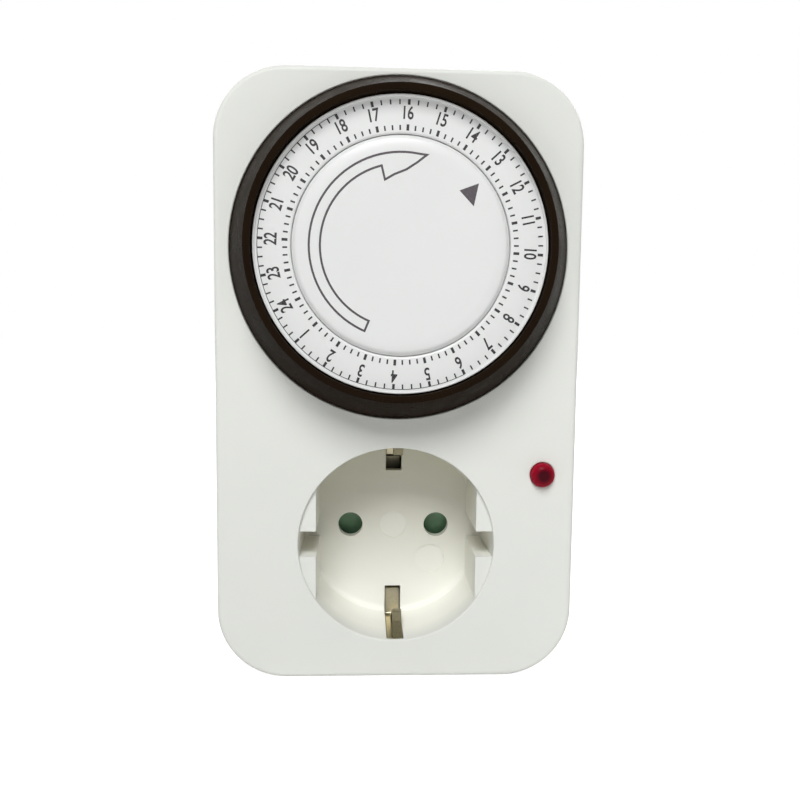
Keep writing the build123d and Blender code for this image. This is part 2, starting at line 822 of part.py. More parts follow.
with BuildPart() as movement_front_plate:
    with BuildSketch(front_plane(front_plate_bottom)):
        with Locations(dial_centre):
            Circle(plate_radius)
        with Locations(((frame_left + frame_right) / 2, (frame_low_z + dial_z - plate_radius / 2) / 2)):
            Rectangle(frame_right - frame_left, dial_z - plate_radius / 2 - frame_low_z)
    extrude(amount=front_plate_thickness)
    # bearing post for the dial
    with BuildSketch(front_plane(front_plate_top, *dial_centre)):
        Circle(post_radius + 2.5)
    extrude(amount=rim_bottom - free_gap - front_plate_top)
    with BuildSketch(front_plane(front_plate_top, *dial_centre)):
        Circle(post_radius)
    extrude(amount=front_height + centre_disc_rise - centre_disc_thickness - front_plate_top)
    with BuildSketch(front_plane(front_plate_bottom, *dial_centre)):
        Circle(post_bore_radius)
    extrude(amount=front_height + ring_rise - front_plate_bottom, mode=Mode.SUBTRACT)
    # window for the follower's nose
    with BuildSketch(front_plane(front_plate_bottom, -0.5, lever_z)):
        Rectangle(5.0, lever_width + 1.0)
    extrude(amount=front_plate_thickness, mode=Mode.SUBTRACT)
    # bearing holes
    with BuildSketch(front_plane(front_plate_bottom)):
        with Locations(first_centre, second_centre, third_centre, motor_centre):
            Circle(arbor_radius + running)
        with Locations(output_centre):
            Circle(output_shaft_radius + running)
    extrude(amount=front_plate_thickness, mode=Mode.SUBTRACT)
    # lugs for the follower's pivot pin
    with BuildSketch(front_plane(front_plate_bottom, lever_pivot_x, lever_z)):
        with Locations((0, lever_width / 2 + 1.0), (0, -lever_width / 2 - 1.0)):
            Rectangle(4.0, 1.4)
    extrude(amount=-4.6)
    with BuildSketch(Plane(origin=(lever_pivot_x, hub_to_plate - front_plate_bottom, lever_z), z_dir=(0, 0, 1))):
        Circle(lever_pin_radius + running)
    extrude(amount=lever_width, both=True, mode=Mode.SUBTRACT)
finish(movement_front_plate, "movement_front_plate")

with BuildPart() as movement_back_plate:
    with BuildSketch(front_plane(back_plate_bottom)):
        with Locations(dial_centre):
            Circle(plate_radius)
        Rectangle(2 * housing_width, 2 * (dial_z - plate_radius * 0.6), mode=Mode.SUBTRACT)
        with Locations(((back_left + frame_right) / 2, (back_low_z + dial_z) / 2)):
            Rectangle(frame_right - back_left, dial_z - back_low_z)
    extrude(amount=back_plate_thickness)
    with BuildSketch(front_plane(back_plate_top)):
        with Locations(*frame_pillars):
            Circle(frame_pillar_radius)
    extrude(amount=plate_gap)
    with BuildSketch(front_plane(back_plate_bottom)):
        with Locations(first_centre, second_centre, third_centre):
            Circle(arbor_radius + running)
        with Locations(output_centre):
            Circle(output_shaft_radius + running)
        with Locations(motor_centre):
            Circle(arbor_radius + sliding)
    extrude(amount=back_plate_thickness, mode=Mode.SUBTRACT)
finish(movement_back_plate, "movement_back_plate")

with BuildPart() as gear_arbors:
    with BuildSketch(front_plane(back_plate_bottom)):
        with Locations(first_centre, second_centre, third_centre):
            Circle(arbor_radius)
    extrude(amount=front_plate_top - back_plate_bottom)
finish(gear_arbors, "gear_arbors")

# ---------------------------------------------------------------- motor

motor_radius = train_distance
coil_radius = motor_radius - motor_wall - coil_inset
bobbin_radius = coil_radius - coil_depth
rotor_radius = bobbin_radius - magnet_gap
can_bottom = rear_inside + free_gap
bobbin_bottom = can_bottom + motor_wall
bobbin_top = back_plate_bottom
lead_height = (bobbin_bottom + bobbin_top) / 2 - lead_thickness
with BuildPart() as motor_can:
    with BuildSketch(front_plane(can_bottom, *motor_centre)):
        Circle(motor_radius)
    extrude(amount=back_plate_bottom - can_bottom)
    chamfer(motor_can.edges().group_by(Axis.Y)[-1], motor_wall * 0.6)
    with BuildSketch(front_plane(can_bottom + motor_wall, *motor_centre)):
        Circle(motor_radius - motor_wall)
    extrude(amount=back_plate_bottom - can_bottom, mode=Mode.SUBTRACT)
    with BuildSketch(front_plane(can_bottom, *motor_centre)):
        Circle(arbor_radius + running)
    extrude(amount=motor_wall, mode=Mode.SUBTRACT)
    # notch for the leads
    with BuildSketch(front_plane(lead_height - 1.0, *motor_centre)):
        with Locations((0, -motor_radius)):
            Rectangle(6.0, 4.0)
    extrude(amount=back_plate_bottom - lead_height + 1.0, mode=Mode.SUBTRACT)
finish(motor_can, "motor_can")

flange = 0.6
with BuildPart() as motor_bobbin:
    add(
        turned(
            [
                (bobbin_radius, bobbin_bottom),
                (motor_radius - motor_wall - 0.3, bobbin_bottom),
                (motor_radius - motor_wall - 0.3, bobbin_bottom + flange),
                (bobbin_radius + flange, bobbin_bottom + flange),
                (bobbin_radius + flange, bobbin_top - flange),
                (motor_radius - motor_wall - 0.3, bobbin_top - flange),
                (motor_radius - motor_wall - 0.3, bobbin_top),
                (bobbin_radius, bobbin_top),
            ],
            *motor_centre,
        )
    )
finish(motor_bobbin, "motor_bobbin")

with BuildPart() as motor_coil:
    with BuildSketch(front_plane(bobbin_bottom + flange, *motor_centre)):
        Circle(coil_radius)
        Circle(bobbin_radius + flange, mode=Mode.SUBTRACT)
    extrude(amount=bobbin_top - bobbin_bottom - 2 * flange)
    # leads to the live feed and to the neutral contact
    coil_foot_z = motor_centre[1] - coil_radius + 0.5
    add(
        lead(
            (motor_centre[0] - 1.5, lead_height, coil_foot_z),
            (motor_centre[0] - 1.5, lead_height, lead_z),
            (-contact_x, lead_height, lead_z),
            (-contact_x, feed_height + strip_thickness, lead_z),
        )
    )
    add(
        lead(
            (motor_centre[0] + 1.5, lead_height, coil_foot_z),
            (motor_centre[0] + 1.5, lead_height, lead_z),
            (neutral_web + 2.8, lead_height, lead_z),
            (neutral_web + 2.8, lead_height, 1.5),
            (neutral_web, lead_height, 1.5),
        )
    )
finish(motor_coil, "motor_coil")

# ---------------------------------------------------------------- gear train

wheel_1_height = back_plate_top + 0.7
wheel_2_height = wheel_1_height + 2.0
wheel_3_height = wheel_2_height + 2.1
clutch_height = wheel_1_height + 0.2
rotor_phase = 0.0
wheel_1_phase = meshed_phase(wheel_teeth, pinion_teeth, rotor_phase, motor_angle + 180)
wheel_2_phase = meshed_phase(wheel_teeth, pinion_teeth, wheel_1_phase, first_angle + 180)
wheel_3_phase = meshed_phase(wheel_teeth, pinion_teeth, wheel_2_phase, second_angle + 180)
clutch_phase = meshed_phase(wheel_teeth, pinion_teeth, wheel_3_phase, third_angle + 180)
output_phase = meshed_phase(output_teeth, steps, dial_rest_angle, output_angle)
arbor_bore = arbor_radius + running
hub_radius = 1.3
pinion_length = 2.3

with BuildPart() as rotor:
    # ring magnet on its shaft, with the first pinion
    add(cylinder_between(rotor_radius, motor_centre, bobbin_bottom + 0.8, back_plate_bottom - 0.8))
    add(cylinder_between(arbor_radius, motor_centre, can_bottom, front_plate_top))
    add(gear(pinion_teeth, train_module, rotor_phase, motor_centre, back_plate_top + 0.3, pinion_length))
finish(rotor, "rotor")

train = (
    ("first_wheel", first_centre, wheel_1_phase, wheel_1_height, wheel_thickness),
    ("second_wheel", second_centre, wheel_2_phase, wheel_2_height, wheel_thickness),
)
for name, centre, phase, height, rise in train:
    with BuildPart() as wheel:
        add(gear(wheel_teeth, train_module, phase, centre, height, wheel_thickness))
        add(gear(pinion_teeth, train_module, phase, centre, height + rise, pinion_length))
        add(cylinder_between(arbor_bore, centre, height - 1, height + 8), mode=Mode.SUBTRACT)
    finish(wheel, name)

pinion_3_height = back_plate_top + 0.3
with BuildPart() as third_wheel:
    # the last pinion hangs below its wheel, beside the clutch wheel
    add(gear(wheel_teeth, train_module, wheel_3_phase, third_centre, wheel_3_height, wheel_thickness))
    add(cylinder_between(hub_radius, third_centre, pinion_3_height + pinion_length, wheel_3_height))
    add(gear(pinion_teeth, train_module, wheel_3_phase, third_centre, pinion_3_height, pinion_length))
    add(cylinder_between(arbor_bore, third_centre, pinion_3_height - 1, front_plate_top), mode=Mode.SUBTRACT)
finish(third_wheel, "third_wheel")

with BuildPart() as clutch_wheel:
    add(gear(wheel_teeth, train_module, clutch_phase, output_centre, clutch_height, wheel_thickness))
    add(
        cylinder_between(output_shaft_radius + running, output_centre, clutch_height - 1, clutch_height + 3),
        mode=Mode.SUBTRACT,
    )
finish(clutch_wheel, "clutch_wheel")

spring_bottom = clutch_height + wheel_thickness + running
spring_radius = 4.5
with BuildPart() as clutch_spring:
    # dished washer that presses the clutch wheel against the collar of the output shaft
    add(
        turned(
            [
                (spring_radius, spring_bottom),
                (spring_radius, spring_bottom + 0.3),
                (output_shaft_radius + 0.6, spring_bottom + 1.3),
                (output_shaft_radius + 0.6, spring_bottom + 1.0),
            ],
            *output_centre,
        )
    )
finish(clutch_spring, "clutch_spring")

with BuildPart() as output_pinion:
    # shaft with collars either side of the clutch, and the pinion that drives the dial
    add(cylinder_between(output_shaft_radius, output_centre, back_plate_bottom, rim_top - 0.2))
    collar_top = clutch_height - running
    add(cylinder_between(output_shaft_radius + 0.9, output_centre, back_plate_top + 0.1, collar_top))
    add(
        cylinder_between(
            output_shaft_radius + 0.9,
            output_centre,
            spring_bottom + 1.3 + running,
            spring_bottom + 2.3,
        )
    )
    add(
        gear(
            output_teeth,
            rim_module,
            output_phase,
            output_centre,
            rim_bottom + 0.2,
            rim_thickness - 0.4,
            tip=0.35,
            root=1.0,
        )
    )
finish(output_pinion, "output_pinion")

# ---------------------------------------------------------------- dial

rim_tip_radius = rim_pitch_radius + 0.55
plate_top = front_height + centre_disc_rise - centre_disc_thickness - free_gap
plate_bottom = plate_top - dial_plate_thickness
number_height = front_height + number_ring_rise
plate_step_radius = centre_disc_radius + free_gap
dial_inner_radius = number_ring_radius - dial_wall
dial_bore = post_radius + running

with BuildPart() as dial_drum:
    # cup with a bearing tube, a recess for the centre disc and a raised number ring with a thin lip
    with BuildSketch(section_plane(*dial_centre)):
        with BuildLine():
            Polyline(
                (dial_bore, rim_bottom),
                (dial_bore + 2.0, rim_bottom),
                (dial_bore + 2.0, plate_bottom),
                (dial_inner_radius, plate_bottom),
                (dial_inner_radius, rim_bottom),
                (number_ring_radius - 0.6, rim_bottom),
                (number_ring_radius - 0.6, rim_top),
                (number_ring_radius, rim_top),
                (number_ring_radius, number_height + lip_rise),
                (number_ring_radius - lip_width, number_height + lip_rise),
                (number_ring_radius - lip_width, number_height),
                (plate_step_radius, number_height),
                (plate_step_radius, plate_top),
                (dial_bore, plate_top),
                close=True,
            )
        make_face()
    revolve(axis=dial_axis(*dial_centre))
    # toothed rim: the tappets' tails slide between its teeth, and the output pinion drives them
    with BuildSketch(front_plane(rim_bottom, *dial_centre)):
        with BuildLine():
            Polyline(
                *tooth_points(steps, dial_rest_angle, number_ring_radius, rim_tip_radius, 0.55, 0.25),
                close=True,
            )
        make_face()
        Circle(number_ring_radius - 1.0, mode=Mode.SUBTRACT)
    extrude(amount=rim_thickness)
finish(dial_drum, "dial_drum")

disc_bottom = plate_top + free_gap
stem_length = 12.0
with BuildPart() as centre_disc:
    with BuildSketch(front_plane(disc_bottom, *dial_centre)):
        Circle(centre_disc_radius)
    extrude(amount=centre_disc_thickness)
    chamfer(centre_disc.edges().group_by(Axis.Y)[0], centre_disc_chamfer)
    with BuildSketch(front_plane(disc_bottom, *dial_centre)):
        Circle(post_bore_radius - running)
    extrude(amount=-stem_length)
finish(centre_disc, "centre_disc")

# One tappet for each quarter of an hour, made at the angle zero and copied round the dial
tappet_inner = number_ring_radius + sliding
tail_inner = number_ring_radius + free_gap
tappet_profile = [
    (tappet_inner, front_height + ring_rise),
    (ring_top_radius, front_height + ring_rise),
    (ring_base_radius, front_height),
    (ring_base_radius, front_height - 1.6),
    (ring_base_radius - 1.2, tappet_bottom),
    (tappet_inner, tappet_bottom),
]
half_pitch = radians(step_angle / 2)
side_direction = (cos(half_pitch), sin(half_pitch))

with BuildPart() as tappet:
    add(prism(tappet_profile, section_plane(), 2.0, both=True))
    # the two sides lie along the radii, half a gap inside them
    for side in (1, -1):
        normal = (-side_direction[1], 0, side * side_direction[0])
        origin = tuple(-component * tappet_gap / 2 for component in normal)
        split(bisect_by=Plane(origin=origin, z_dir=normal), keep=Keep.BOTTOM)
    # tail between two teeth of the rim
    with BuildSketch(front_plane(rim_bottom)):
        with Locations((tail_inner + tail_length_along_radius / 2, 0)):
            Rectangle(tail_length_along_radius, tail_width)
    extrude(amount=tappet_bottom - rim_bottom)

for hour in range(hours):
    with BuildPart() as hour_tappets:
        for quarter in range(steps_per_hour):
            turn = dial_rest_angle + step_angle * (hour * steps_per_hour + quarter + 0.5)
            place = Location((0, 0, dial_z)) * Location((0, 0, 0), (0, -turn, 0))
            add(tappet.part.moved(place))
    finish(hour_tappets, f"tappets_hour_{hour + 1:02d}")

# ---------------------------------------------------------------- follower and override

nose_top = tail_pressed - 0.25
arm_height = front_plate_bottom - arm_to_plate
hub_height = front_plate_bottom - hub_to_plate
with BuildPart() as follower_lever:
    with BuildSketch(Plane(origin=(0, 0, lever_z), x_dir=(1, 0, 0), z_dir=(0, 0, -1))):
        with Locations((lever_pivot_x, hub_height)):
            Circle(2.0)
        with BuildLine():
            Polyline(
                (lever_pivot_x, hub_height + 1.9),
                (lever_pivot_x, hub_height - 1.9),
                (-6.0, arm_height - 2.0),
                (-4.6, blade_height + blade_thickness + 0.25),
                (-3.4, blade_height + blade_thickness + 0.25),
                (-2.6, arm_height - 2.0),
                (0.9, arm_height - 1.6),
                (0.9, nose_top - 0.8),
                (0.4, nose_top),
                (-0.5, nose_top),
                (-0.9, nose_top - 0.8),
                (-0.9, arm_height + 0.2),
                close=True,
            )
        make_face()
    extrude(amount=lever_width / 2, both=True)
    with BuildSketch(Plane(origin=(lever_pivot_x, -hub_height, lever_z), z_dir=(0, 0, 1))):
        Circle(lever_pin_radius + running)
    extrude(amount=lever_width, both=True, mode=Mode.SUBTRACT)
finish(follower_lever, "follower_lever")

with BuildPart() as lever_pin:
    with BuildSketch(Plane(origin=(lever_pivot_x, -hub_height, lever_z), z_dir=(0, 0, 1))):
        Circle(lever_pin_radius)
    extrude(amount=lever_width / 2 + 1.6, both=True)
finish(lever_pin, "lever_pin")

slide_plate = 1.4
slide_x = -housing_width / 2 + wall + running
with BuildPart() as override_slide:
    # plate behind the wall, thumb piece with grip ridges outside, and a finger towards the blade
    knob_z = override_z - override_travel / 2
    with BuildSketch(left_plane(slide_x, knob_z)):
        Rectangle(override_knob + 2 * override_travel + 5.0, override_slot + 4.0)
    extrude(amount=-slide_plate)
    with BuildSketch(left_plane(slide_x, knob_z)):
        Rectangle(override_knob, override_slot - 2 * sliding)
    extrude(amount=wall + 1.2)
    fillet(override_slide.edges().group_by(Axis.X)[0], 0.4)
    with BuildSketch(front_plane(override_height - 2.0, slide_x + slide_plate, knob_z)):
        with Locations((1.5, 0)):
            Rectangle(3.0, 3.0)
    extrude(amount=2.0)
finish(override_slide, "override_slide")
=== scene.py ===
# %% [markdown]
# Plug-in timer switch: a pale housing that plugs into a wall socket and has a socket and a
# programming dial of its own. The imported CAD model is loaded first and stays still. It could be
# copied by hand into a new scene, but loading it keeps every piece in its true place, so that a
# new piece only has to be made where the CAD says it is.

# %% Load the CAD frame
import json
from math import cos, pi, radians, sin

import bmesh
import bpy
from mathutils import Matrix, Vector

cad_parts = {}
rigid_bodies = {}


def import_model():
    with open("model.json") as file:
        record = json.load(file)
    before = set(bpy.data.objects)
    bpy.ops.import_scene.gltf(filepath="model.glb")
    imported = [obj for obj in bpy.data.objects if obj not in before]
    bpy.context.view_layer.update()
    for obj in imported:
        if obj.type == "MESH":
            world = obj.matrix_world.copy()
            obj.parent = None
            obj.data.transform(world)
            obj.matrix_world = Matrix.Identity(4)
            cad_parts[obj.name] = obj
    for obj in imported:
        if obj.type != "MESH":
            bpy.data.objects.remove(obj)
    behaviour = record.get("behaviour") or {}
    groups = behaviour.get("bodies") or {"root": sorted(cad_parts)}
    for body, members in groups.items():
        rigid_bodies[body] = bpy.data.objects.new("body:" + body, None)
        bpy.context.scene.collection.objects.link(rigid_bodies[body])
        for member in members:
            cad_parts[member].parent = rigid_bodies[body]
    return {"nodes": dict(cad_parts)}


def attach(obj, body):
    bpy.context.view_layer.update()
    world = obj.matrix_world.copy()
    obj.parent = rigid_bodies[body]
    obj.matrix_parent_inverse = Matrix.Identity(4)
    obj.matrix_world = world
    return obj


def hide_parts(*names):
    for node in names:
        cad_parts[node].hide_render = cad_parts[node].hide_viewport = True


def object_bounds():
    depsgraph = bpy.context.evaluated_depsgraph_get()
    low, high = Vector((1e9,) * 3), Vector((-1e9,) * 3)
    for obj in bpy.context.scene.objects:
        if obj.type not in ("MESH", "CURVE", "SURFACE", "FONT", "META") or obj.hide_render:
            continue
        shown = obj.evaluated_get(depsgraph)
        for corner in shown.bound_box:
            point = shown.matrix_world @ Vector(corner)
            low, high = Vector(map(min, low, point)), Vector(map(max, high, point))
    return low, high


for default in list(bpy.data.objects):
    bpy.data.objects.remove(default)
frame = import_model()
nodes = frame["nodes"]
cad_low, cad_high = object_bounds()
print("CAD nodes:", len(nodes))
print("CAD size in mm:", [round(1000 * side, 1) for side in cad_high - cad_low])

# %% [markdown]
# The device is drawn on its front face: x to the right, z up, and a height towards the user.
# Working straight in the wall's directions would also do, but in the drawing's directions every
# extrusion goes up, as on a workbench. One matrix stands the drawing up and turns its
# millimetres to metres. Places that both a shape and a finish need are named here, in drawing
# millimetres: the lamp's axis, and the x, y, radius and floor of two round marks in the well.

# %% From the drawing to the wall
MILLIMETRE = 0.001
STAND_UP = Matrix.Scale(MILLIMETRE, 4) @ Matrix.Rotation(pi / 2, 4, "X")
LAMP = (29.3, 14.5)
MARKS = ((0.0, 0.0, 2.9, 34.7), (8.2, -7.7, 3.2, 34.75))


def polar(radius, degrees):
    """A point on the drawing at a radius and at an angle from the right."""
    return (radius * cos(radians(degrees)), radius * sin(radians(degrees)))


def show(name, data):
    """A new object in the scene for a mesh, a text, a lamp or a camera."""
    made = bpy.data.objects.new(name, data)
    bpy.context.scene.collection.objects.link(made)
    return made


print("one drawing unit becomes", (STAND_UP @ Vector((1, 0, 0))).length, "m")

# %% [markdown]
# Every finish is a node tree. Trees can be clicked together, but a script can be read and
# repeated. One small function adds a node with its settings, values and links, and a second
# starts a finish.

# %% Colours and nodes
def linear(code):
    """An sRGB hex colour as linear red, green, blue and alpha."""
    parts = [int(code[i:i + 2], 16) / 255 for i in (1, 3, 5)]
    return [p / 12.92 if p <= 0.04045 else ((p + 0.055) / 1.055) ** 2.4 for p in parts] + [1.0]


def add(tree, kind, inputs=(), **settings):
    """Add a node, or take the one that is given, and set its settings, values and links."""
    made = tree.nodes.new(kind) if isinstance(kind, str) else kind
    for name, value in settings.items():
        setattr(made, name, value)
    for socket, value in dict(inputs).items():
        if isinstance(value, bpy.types.NodeSocket):
            tree.links.new(value, made.inputs[socket])
        else:
            made.inputs[socket].default_value = value
    return made


def new_finish(name):
    """A material, its tree, its surface shader and the place on the object that patterns read."""
    material = bpy.data.materials.new(name)
    material.use_nodes = True
    tree = material.node_tree
    place = add(tree, "ShaderNodeTexCoord").outputs["Object"]
    return material, tree, tree.nodes["Principled BSDF"], place


print("linear value of the housing's green channel:", round(linear("#DFE1DC")[1], 3))

# %% [markdown]
# A few patterns come back in almost every finish, so each has a function that adds its nodes
# and returns the link. They read the object's own coordinates in metres, so the scale of a
# noise is one over the size of its grains in metres. A wave texture repeats every 0.314 units
# at scale 1, which gives the scale for a spacing in metres.

# %% Patterns
WAVE_LENGTH = 0.314


def noise(tree, place, grain, detail=2.0):
    """A soft noise whose grains have one size."""
    return add(tree, "ShaderNodeTexNoise",
               {"Vector": place, "Scale": 1 / grain, "Detail": detail}).outputs["Fac"]


def streaks(tree, place, grains, detail=2.0):
    """A noise whose grains have a size of their own along x, y and z."""
    stretched = add(tree, "ShaderNodeMapping",
                    {"Vector": place, "Scale": [1 / size for size in grains]})
    return noise(tree, stretched.outputs["Vector"], 1.0, detail)


def bands(tree, place, spacing, direction):
    """Soft bands with a spacing along one direction."""
    return add(tree, "ShaderNodeTexWave", {"Vector": place, "Scale": WAVE_LENGTH / spacing},
               wave_type="BANDS", bands_direction=direction).outputs["Fac"]


def span(tree, value, low, high, start=0.0, end=1.0):
    """A value that runs from start to end, brought to the range from low to high."""
    return add(tree, "ShaderNodeMapRange", {"Value": value, "From Min": start, "From Max": end,
                                            "To Min": low, "To Max": high}).outputs["Result"]


def blend(tree, share, first, second):
    """A colour between two, where each is a hex code or a link."""
    pair = [linear(colour) if isinstance(colour, str) else colour for colour in (first, second)]
    return add(tree, "ShaderNodeMix", {0: share, 6: pair[0], 7: pair[1]},
               data_type="RGBA").outputs[2]


def relief(tree, height, strength, depth):
    """A surface that rises and falls by a depth without a shape of its own."""
    return add(tree, "ShaderNodeBump",
               {"Height": height, "Strength": strength, "Distance": depth}).outputs["Normal"]


def maths(tree, operation, first, second):
    """One sum with two values."""
    return add(tree, "ShaderNodeMath", {0: first, 1: second}, operation=operation).outputs[0]


def off_axis(tree, place, x, y):
    """The distance from an axis that stands on the drawing at x and y."""
    flat = add(tree, "ShaderNodeVectorMath", {0: place, 1: (1.0, 0.0, 1.0)}, operation="MULTIPLY")
    axis = (x * MILLIMETRE, 0.0, y * MILLIMETRE)
    return add(tree, "ShaderNodeVectorMath", {0: flat.outputs[0], 1: axis},
               operation="DISTANCE").outputs["Value"]


def in_view(tree):
    """1 for what the camera, a reflection or a clear part shows, 0 for light that only falls."""
    rays = add(tree, "ShaderNodeLightPath")
    seen = maths(tree, "MAXIMUM", rays.outputs["Is Camera Ray"],
                 rays.outputs["Is Transmission Ray"])
    return maths(tree, "MAXIMUM", seen, rays.outputs["Is Glossy Ray"])


print("a wave spaced 1 mm has a scale of", WAVE_LENGTH / MILLIMETRE)

# %% [markdown]
# The housing is ABS, moulded in a spark-eroded steel mould. The mould leaves an even grain that
# breaks up every reflection, so the plastic looks soft and not glossy. The grain could be a
# displaced mesh, but it is a hundredth of a millimetre deep, so a bump is enough. The real
# grain is about 0.1 mm wide and is drawn 0.35 mm wide, because a finer one doesn't show. A slow
# change of tint stands for the colour batch, which never mixes quite evenly. Inside the well,
# light and shade are painted into the colour. Low down it is painted whiter, as painted light for
# the light that bounces in the well. High up it is painted darker and yellower, as painted shade
# under the well's upper rim. A mask by the distance from the well's axis and by the depth gives
# the well this painted tint, and the height changes it from painted light to painted shade.
# Inside the two round marks in its floor, the painted shade is taken half way back to the whiter
# tint. The mask has no end towards the wall, so the plug's boss takes the same tints, and a
# trace of the marks. The reflections are weak, because the grain scatters most of them.

# %% Pale moulded ABS for the housing
GRAIN = 0.00035
ABS_INDEX = 1.54
WELL_REACH = 0.0199
WELL_MOUTH, WELL_INSIDE = -0.0515, -0.046
LIT_BELOW, SHADED_ABOVE = -0.014, 0.018
WELL_LIT_WHITE = "#F1F1EA"
abs_pale, tree, shader, place = new_finish("abs_moulded_fine_grain")
tint = blend(tree, noise(tree, place, 0.035), "#DFE1DC", "#E5E6E1")
spot = add(tree, "ShaderNodeSeparateXYZ", {"Vector": place})
deep = span(tree, spot.outputs["Y"], 0.0, 1.0, WELL_MOUTH, WELL_INSIDE)
near = maths(tree, "LESS_THAN", off_axis(tree, place, 0, 0), WELL_REACH)
# Painted light and shade in the well: whiter low down for bounced light, darker and yellower high
# up for the shade under the rim.
high = span(tree, spot.outputs["Z"], 0.0, 1.0, LIT_BELOW, SHADED_ABOVE)
well_light_and_shade = blend(tree, high, WELL_LIT_WHITE, "#D4D2C2")
# Inside the round marks the painted shade is taken half way back to the whiter tint.
for x, y, radius, floor in MARKS:
    mark = maths(tree, "LESS_THAN", off_axis(tree, place, x, y), radius * MILLIMETRE)
    well_light_and_shade = blend(tree, maths(tree, "MULTIPLY", mark, 0.5), well_light_and_shade, WELL_LIT_WHITE)
shade = blend(tree, maths(tree, "MULTIPLY", near, deep), tint, well_light_and_shade)
grain = noise(tree, place, GRAIN, 1.0)
add(tree, shader, {"Base Color": shade, "Roughness": span(tree, grain, 0.38, 0.48),
                   "Normal": relief(tree, grain, 0.12, 0.00002), "IOR": ABS_INDEX,
                   "Specular IOR Level": 0.1})
print("housing grain:", GRAIN / MILLIMETRE, "mm")

# %% [markdown]
# The number ring and the middle disc are ABS too, from a whiter batch and a finer mould, so
# they are smoother and a little cooler in colour. The housing's tree could be copied with other
# values, but it is written out, because each finish then reads by itself.

# %% White satin ABS for the dial
abs_white, tree, shader, place = new_finish("abs_satin_white")
batch = noise(tree, place, 0.02)
grain = noise(tree, place, 0.00025)
add(tree, shader, {"Base Color": blend(tree, batch, "#DDDEDD", "#E2E3E2"),
                   "Roughness": span(tree, batch, 0.28, 0.38),
                   "Normal": relief(tree, grain, 0.08, 0.00001), "IOR": ABS_INDEX})
print("dial plastic ready:", abs_white.name)

# %% [markdown]
# The tappets are black ABS from a polished mould, made smooth so that a finger slides them
# easily. Fingers leave a thin uneven film, which dulls the shine in soft patches. The patches
# could be painted by hand, but a noise about 8 mm wide in the roughness looks the same from
# every side. The reflections are kept weak, because at a flat angle the white room would
# otherwise turn the sloping faces grey.

# %% Glossy black ABS for the tappets
abs_black, tree, shader, place = new_finish("abs_gloss_black")
film = noise(tree, place, 0.008, 3.0)
add(tree, shader, {"Base Color": blend(tree, film, "#1A120C", "#231A11"),
                   "Roughness": span(tree, film, 0.22, 0.36, 0.3, 0.7), "IOR": ABS_INDEX,
                   "Specular IOR Level": 0.005})
print("tappet plastic ready:", abs_black.name)

# %% [markdown]
# The numbers and marks are pad-printed: a soft pad presses a thin film of ink on the plastic.
# The film is matt, and slightly thinner in tiny spots. It could be a picture on the ring, but
# letters with a shape of their own stay sharp at any distance, so the ink is a material and the
# figures are thin pieces. The ring is printed in black and the disc in a softer grey-black.

# %% Printing inks
inks = []
for name, thick, thin in (("ink_black_pad_printed", "#1C191B", "#3A3638"),
                          ("ink_grey_pad_printed", "#453F43", "#5A5458")):
    ink, tree, shader, place = new_finish(name)
    thinner = span(tree, noise(tree, place, 0.0003), 0.0, 1.0, 0.55, 0.8)
    add(tree, shader, {"Base Color": blend(tree, thinner, thick, thin), "Roughness": 0.55})
    inks.append(ink)
ink_black, ink_grey = inks
print("inks:", [ink.name for ink in inks])

# %% [markdown]
# The shutter is green polyamide. Polyamide takes up water and stays a little waxy, so its gloss
# is broad and its colour slightly clouded. It could be one flat green, but behind a small hole
# only this cloudiness tells the eye that there is a moulded part.

# %% Green moulded polyamide for the shutter
polyamide_green, tree, shader, place = new_finish("polyamide_green_moulded")
cloudy = blend(tree, noise(tree, place, 0.002, 3.0), "#577A5B", "#6C9070")
add(tree, shader, {"Base Color": cloudy, "Roughness": 0.42, "IOR": 1.53})
print("shutter plastic ready:", polyamide_green.name)

# %% [markdown]
# The lamp's lens is red acrylic, moulded clear and polished. Its middle looks darker, because the
# dark tube with the lamp lies behind it, and its rim is brighter, because light leaves there. A
# painted red would look like enamel, so the tint changes with the distance from the lens's axis
# and a part of the light is let through.

# %% Red acrylic for the lens
DARK_MIDDLE, BRIGHT_RIM = 0.0009, 0.0023
acrylic_red, tree, shader, place = new_finish("acrylic_red_polished")
rim = span(tree, off_axis(tree, place, *LAMP), 0.0, 1.0, DARK_MIDDLE, BRIGHT_RIM)
add(tree, shader, {"Base Color": blend(tree, rim, "#420210", "#A00C28"), "Roughness": 0.3,
                   "IOR": 1.49, "Specular IOR Level": 0.02, "Transmission Weight": 0.1})
print("lens ready:", acrylic_red.name)

# %% [markdown]
# The plug pins and the earth strip are brass with a nickel coat. Pins are drawn through a die
# and so keep fine lines along their length, and sliding in sockets adds more. The lines could
# be modelled, but a noise that is stretched along the pin gives the same streaks of light. The
# strip has a thinner coat, so the yellow of the brass comes through.

# %% Nickel-plated brass for pins and earth strip
LINES = (0.0003, 0.012, 0.0003)
platings = []
for name, dark, pale, low, high, strength in (
    ("nickel_plated_brass_drawn", "#CFC9BE", "#DCD8D0", 0.24, 0.42, 0.15),
    ("nickel_flashed_brass_strip", "#8C856D", "#A49D86", 0.26, 0.4, 0.02),
):
    plating, tree, shader, place = new_finish(name)
    lines = streaks(tree, place, LINES)
    add(tree, shader, {"Base Color": blend(tree, lines, dark, pale), "Metallic": 1.0,
                       "Roughness": span(tree, lines, low, high),
                       "Normal": relief(tree, lines, strength, 0.00001)})
    platings.append(plating)
nickel, strip_nickel = platings
print("line spacing on the pins:", LINES[0] / MILLIMETRE, "mm")

# %% [markdown]
# The contacts are stamped from rolled brass strip, and the screws, arbors, springs and the
# motor's can are steel with a thin coat of zinc. Rolling leaves faint straight lines, and zinc
# grows in soft clouds. Both are metals, so the colour is in the reflection and the pattern in
# the roughness.

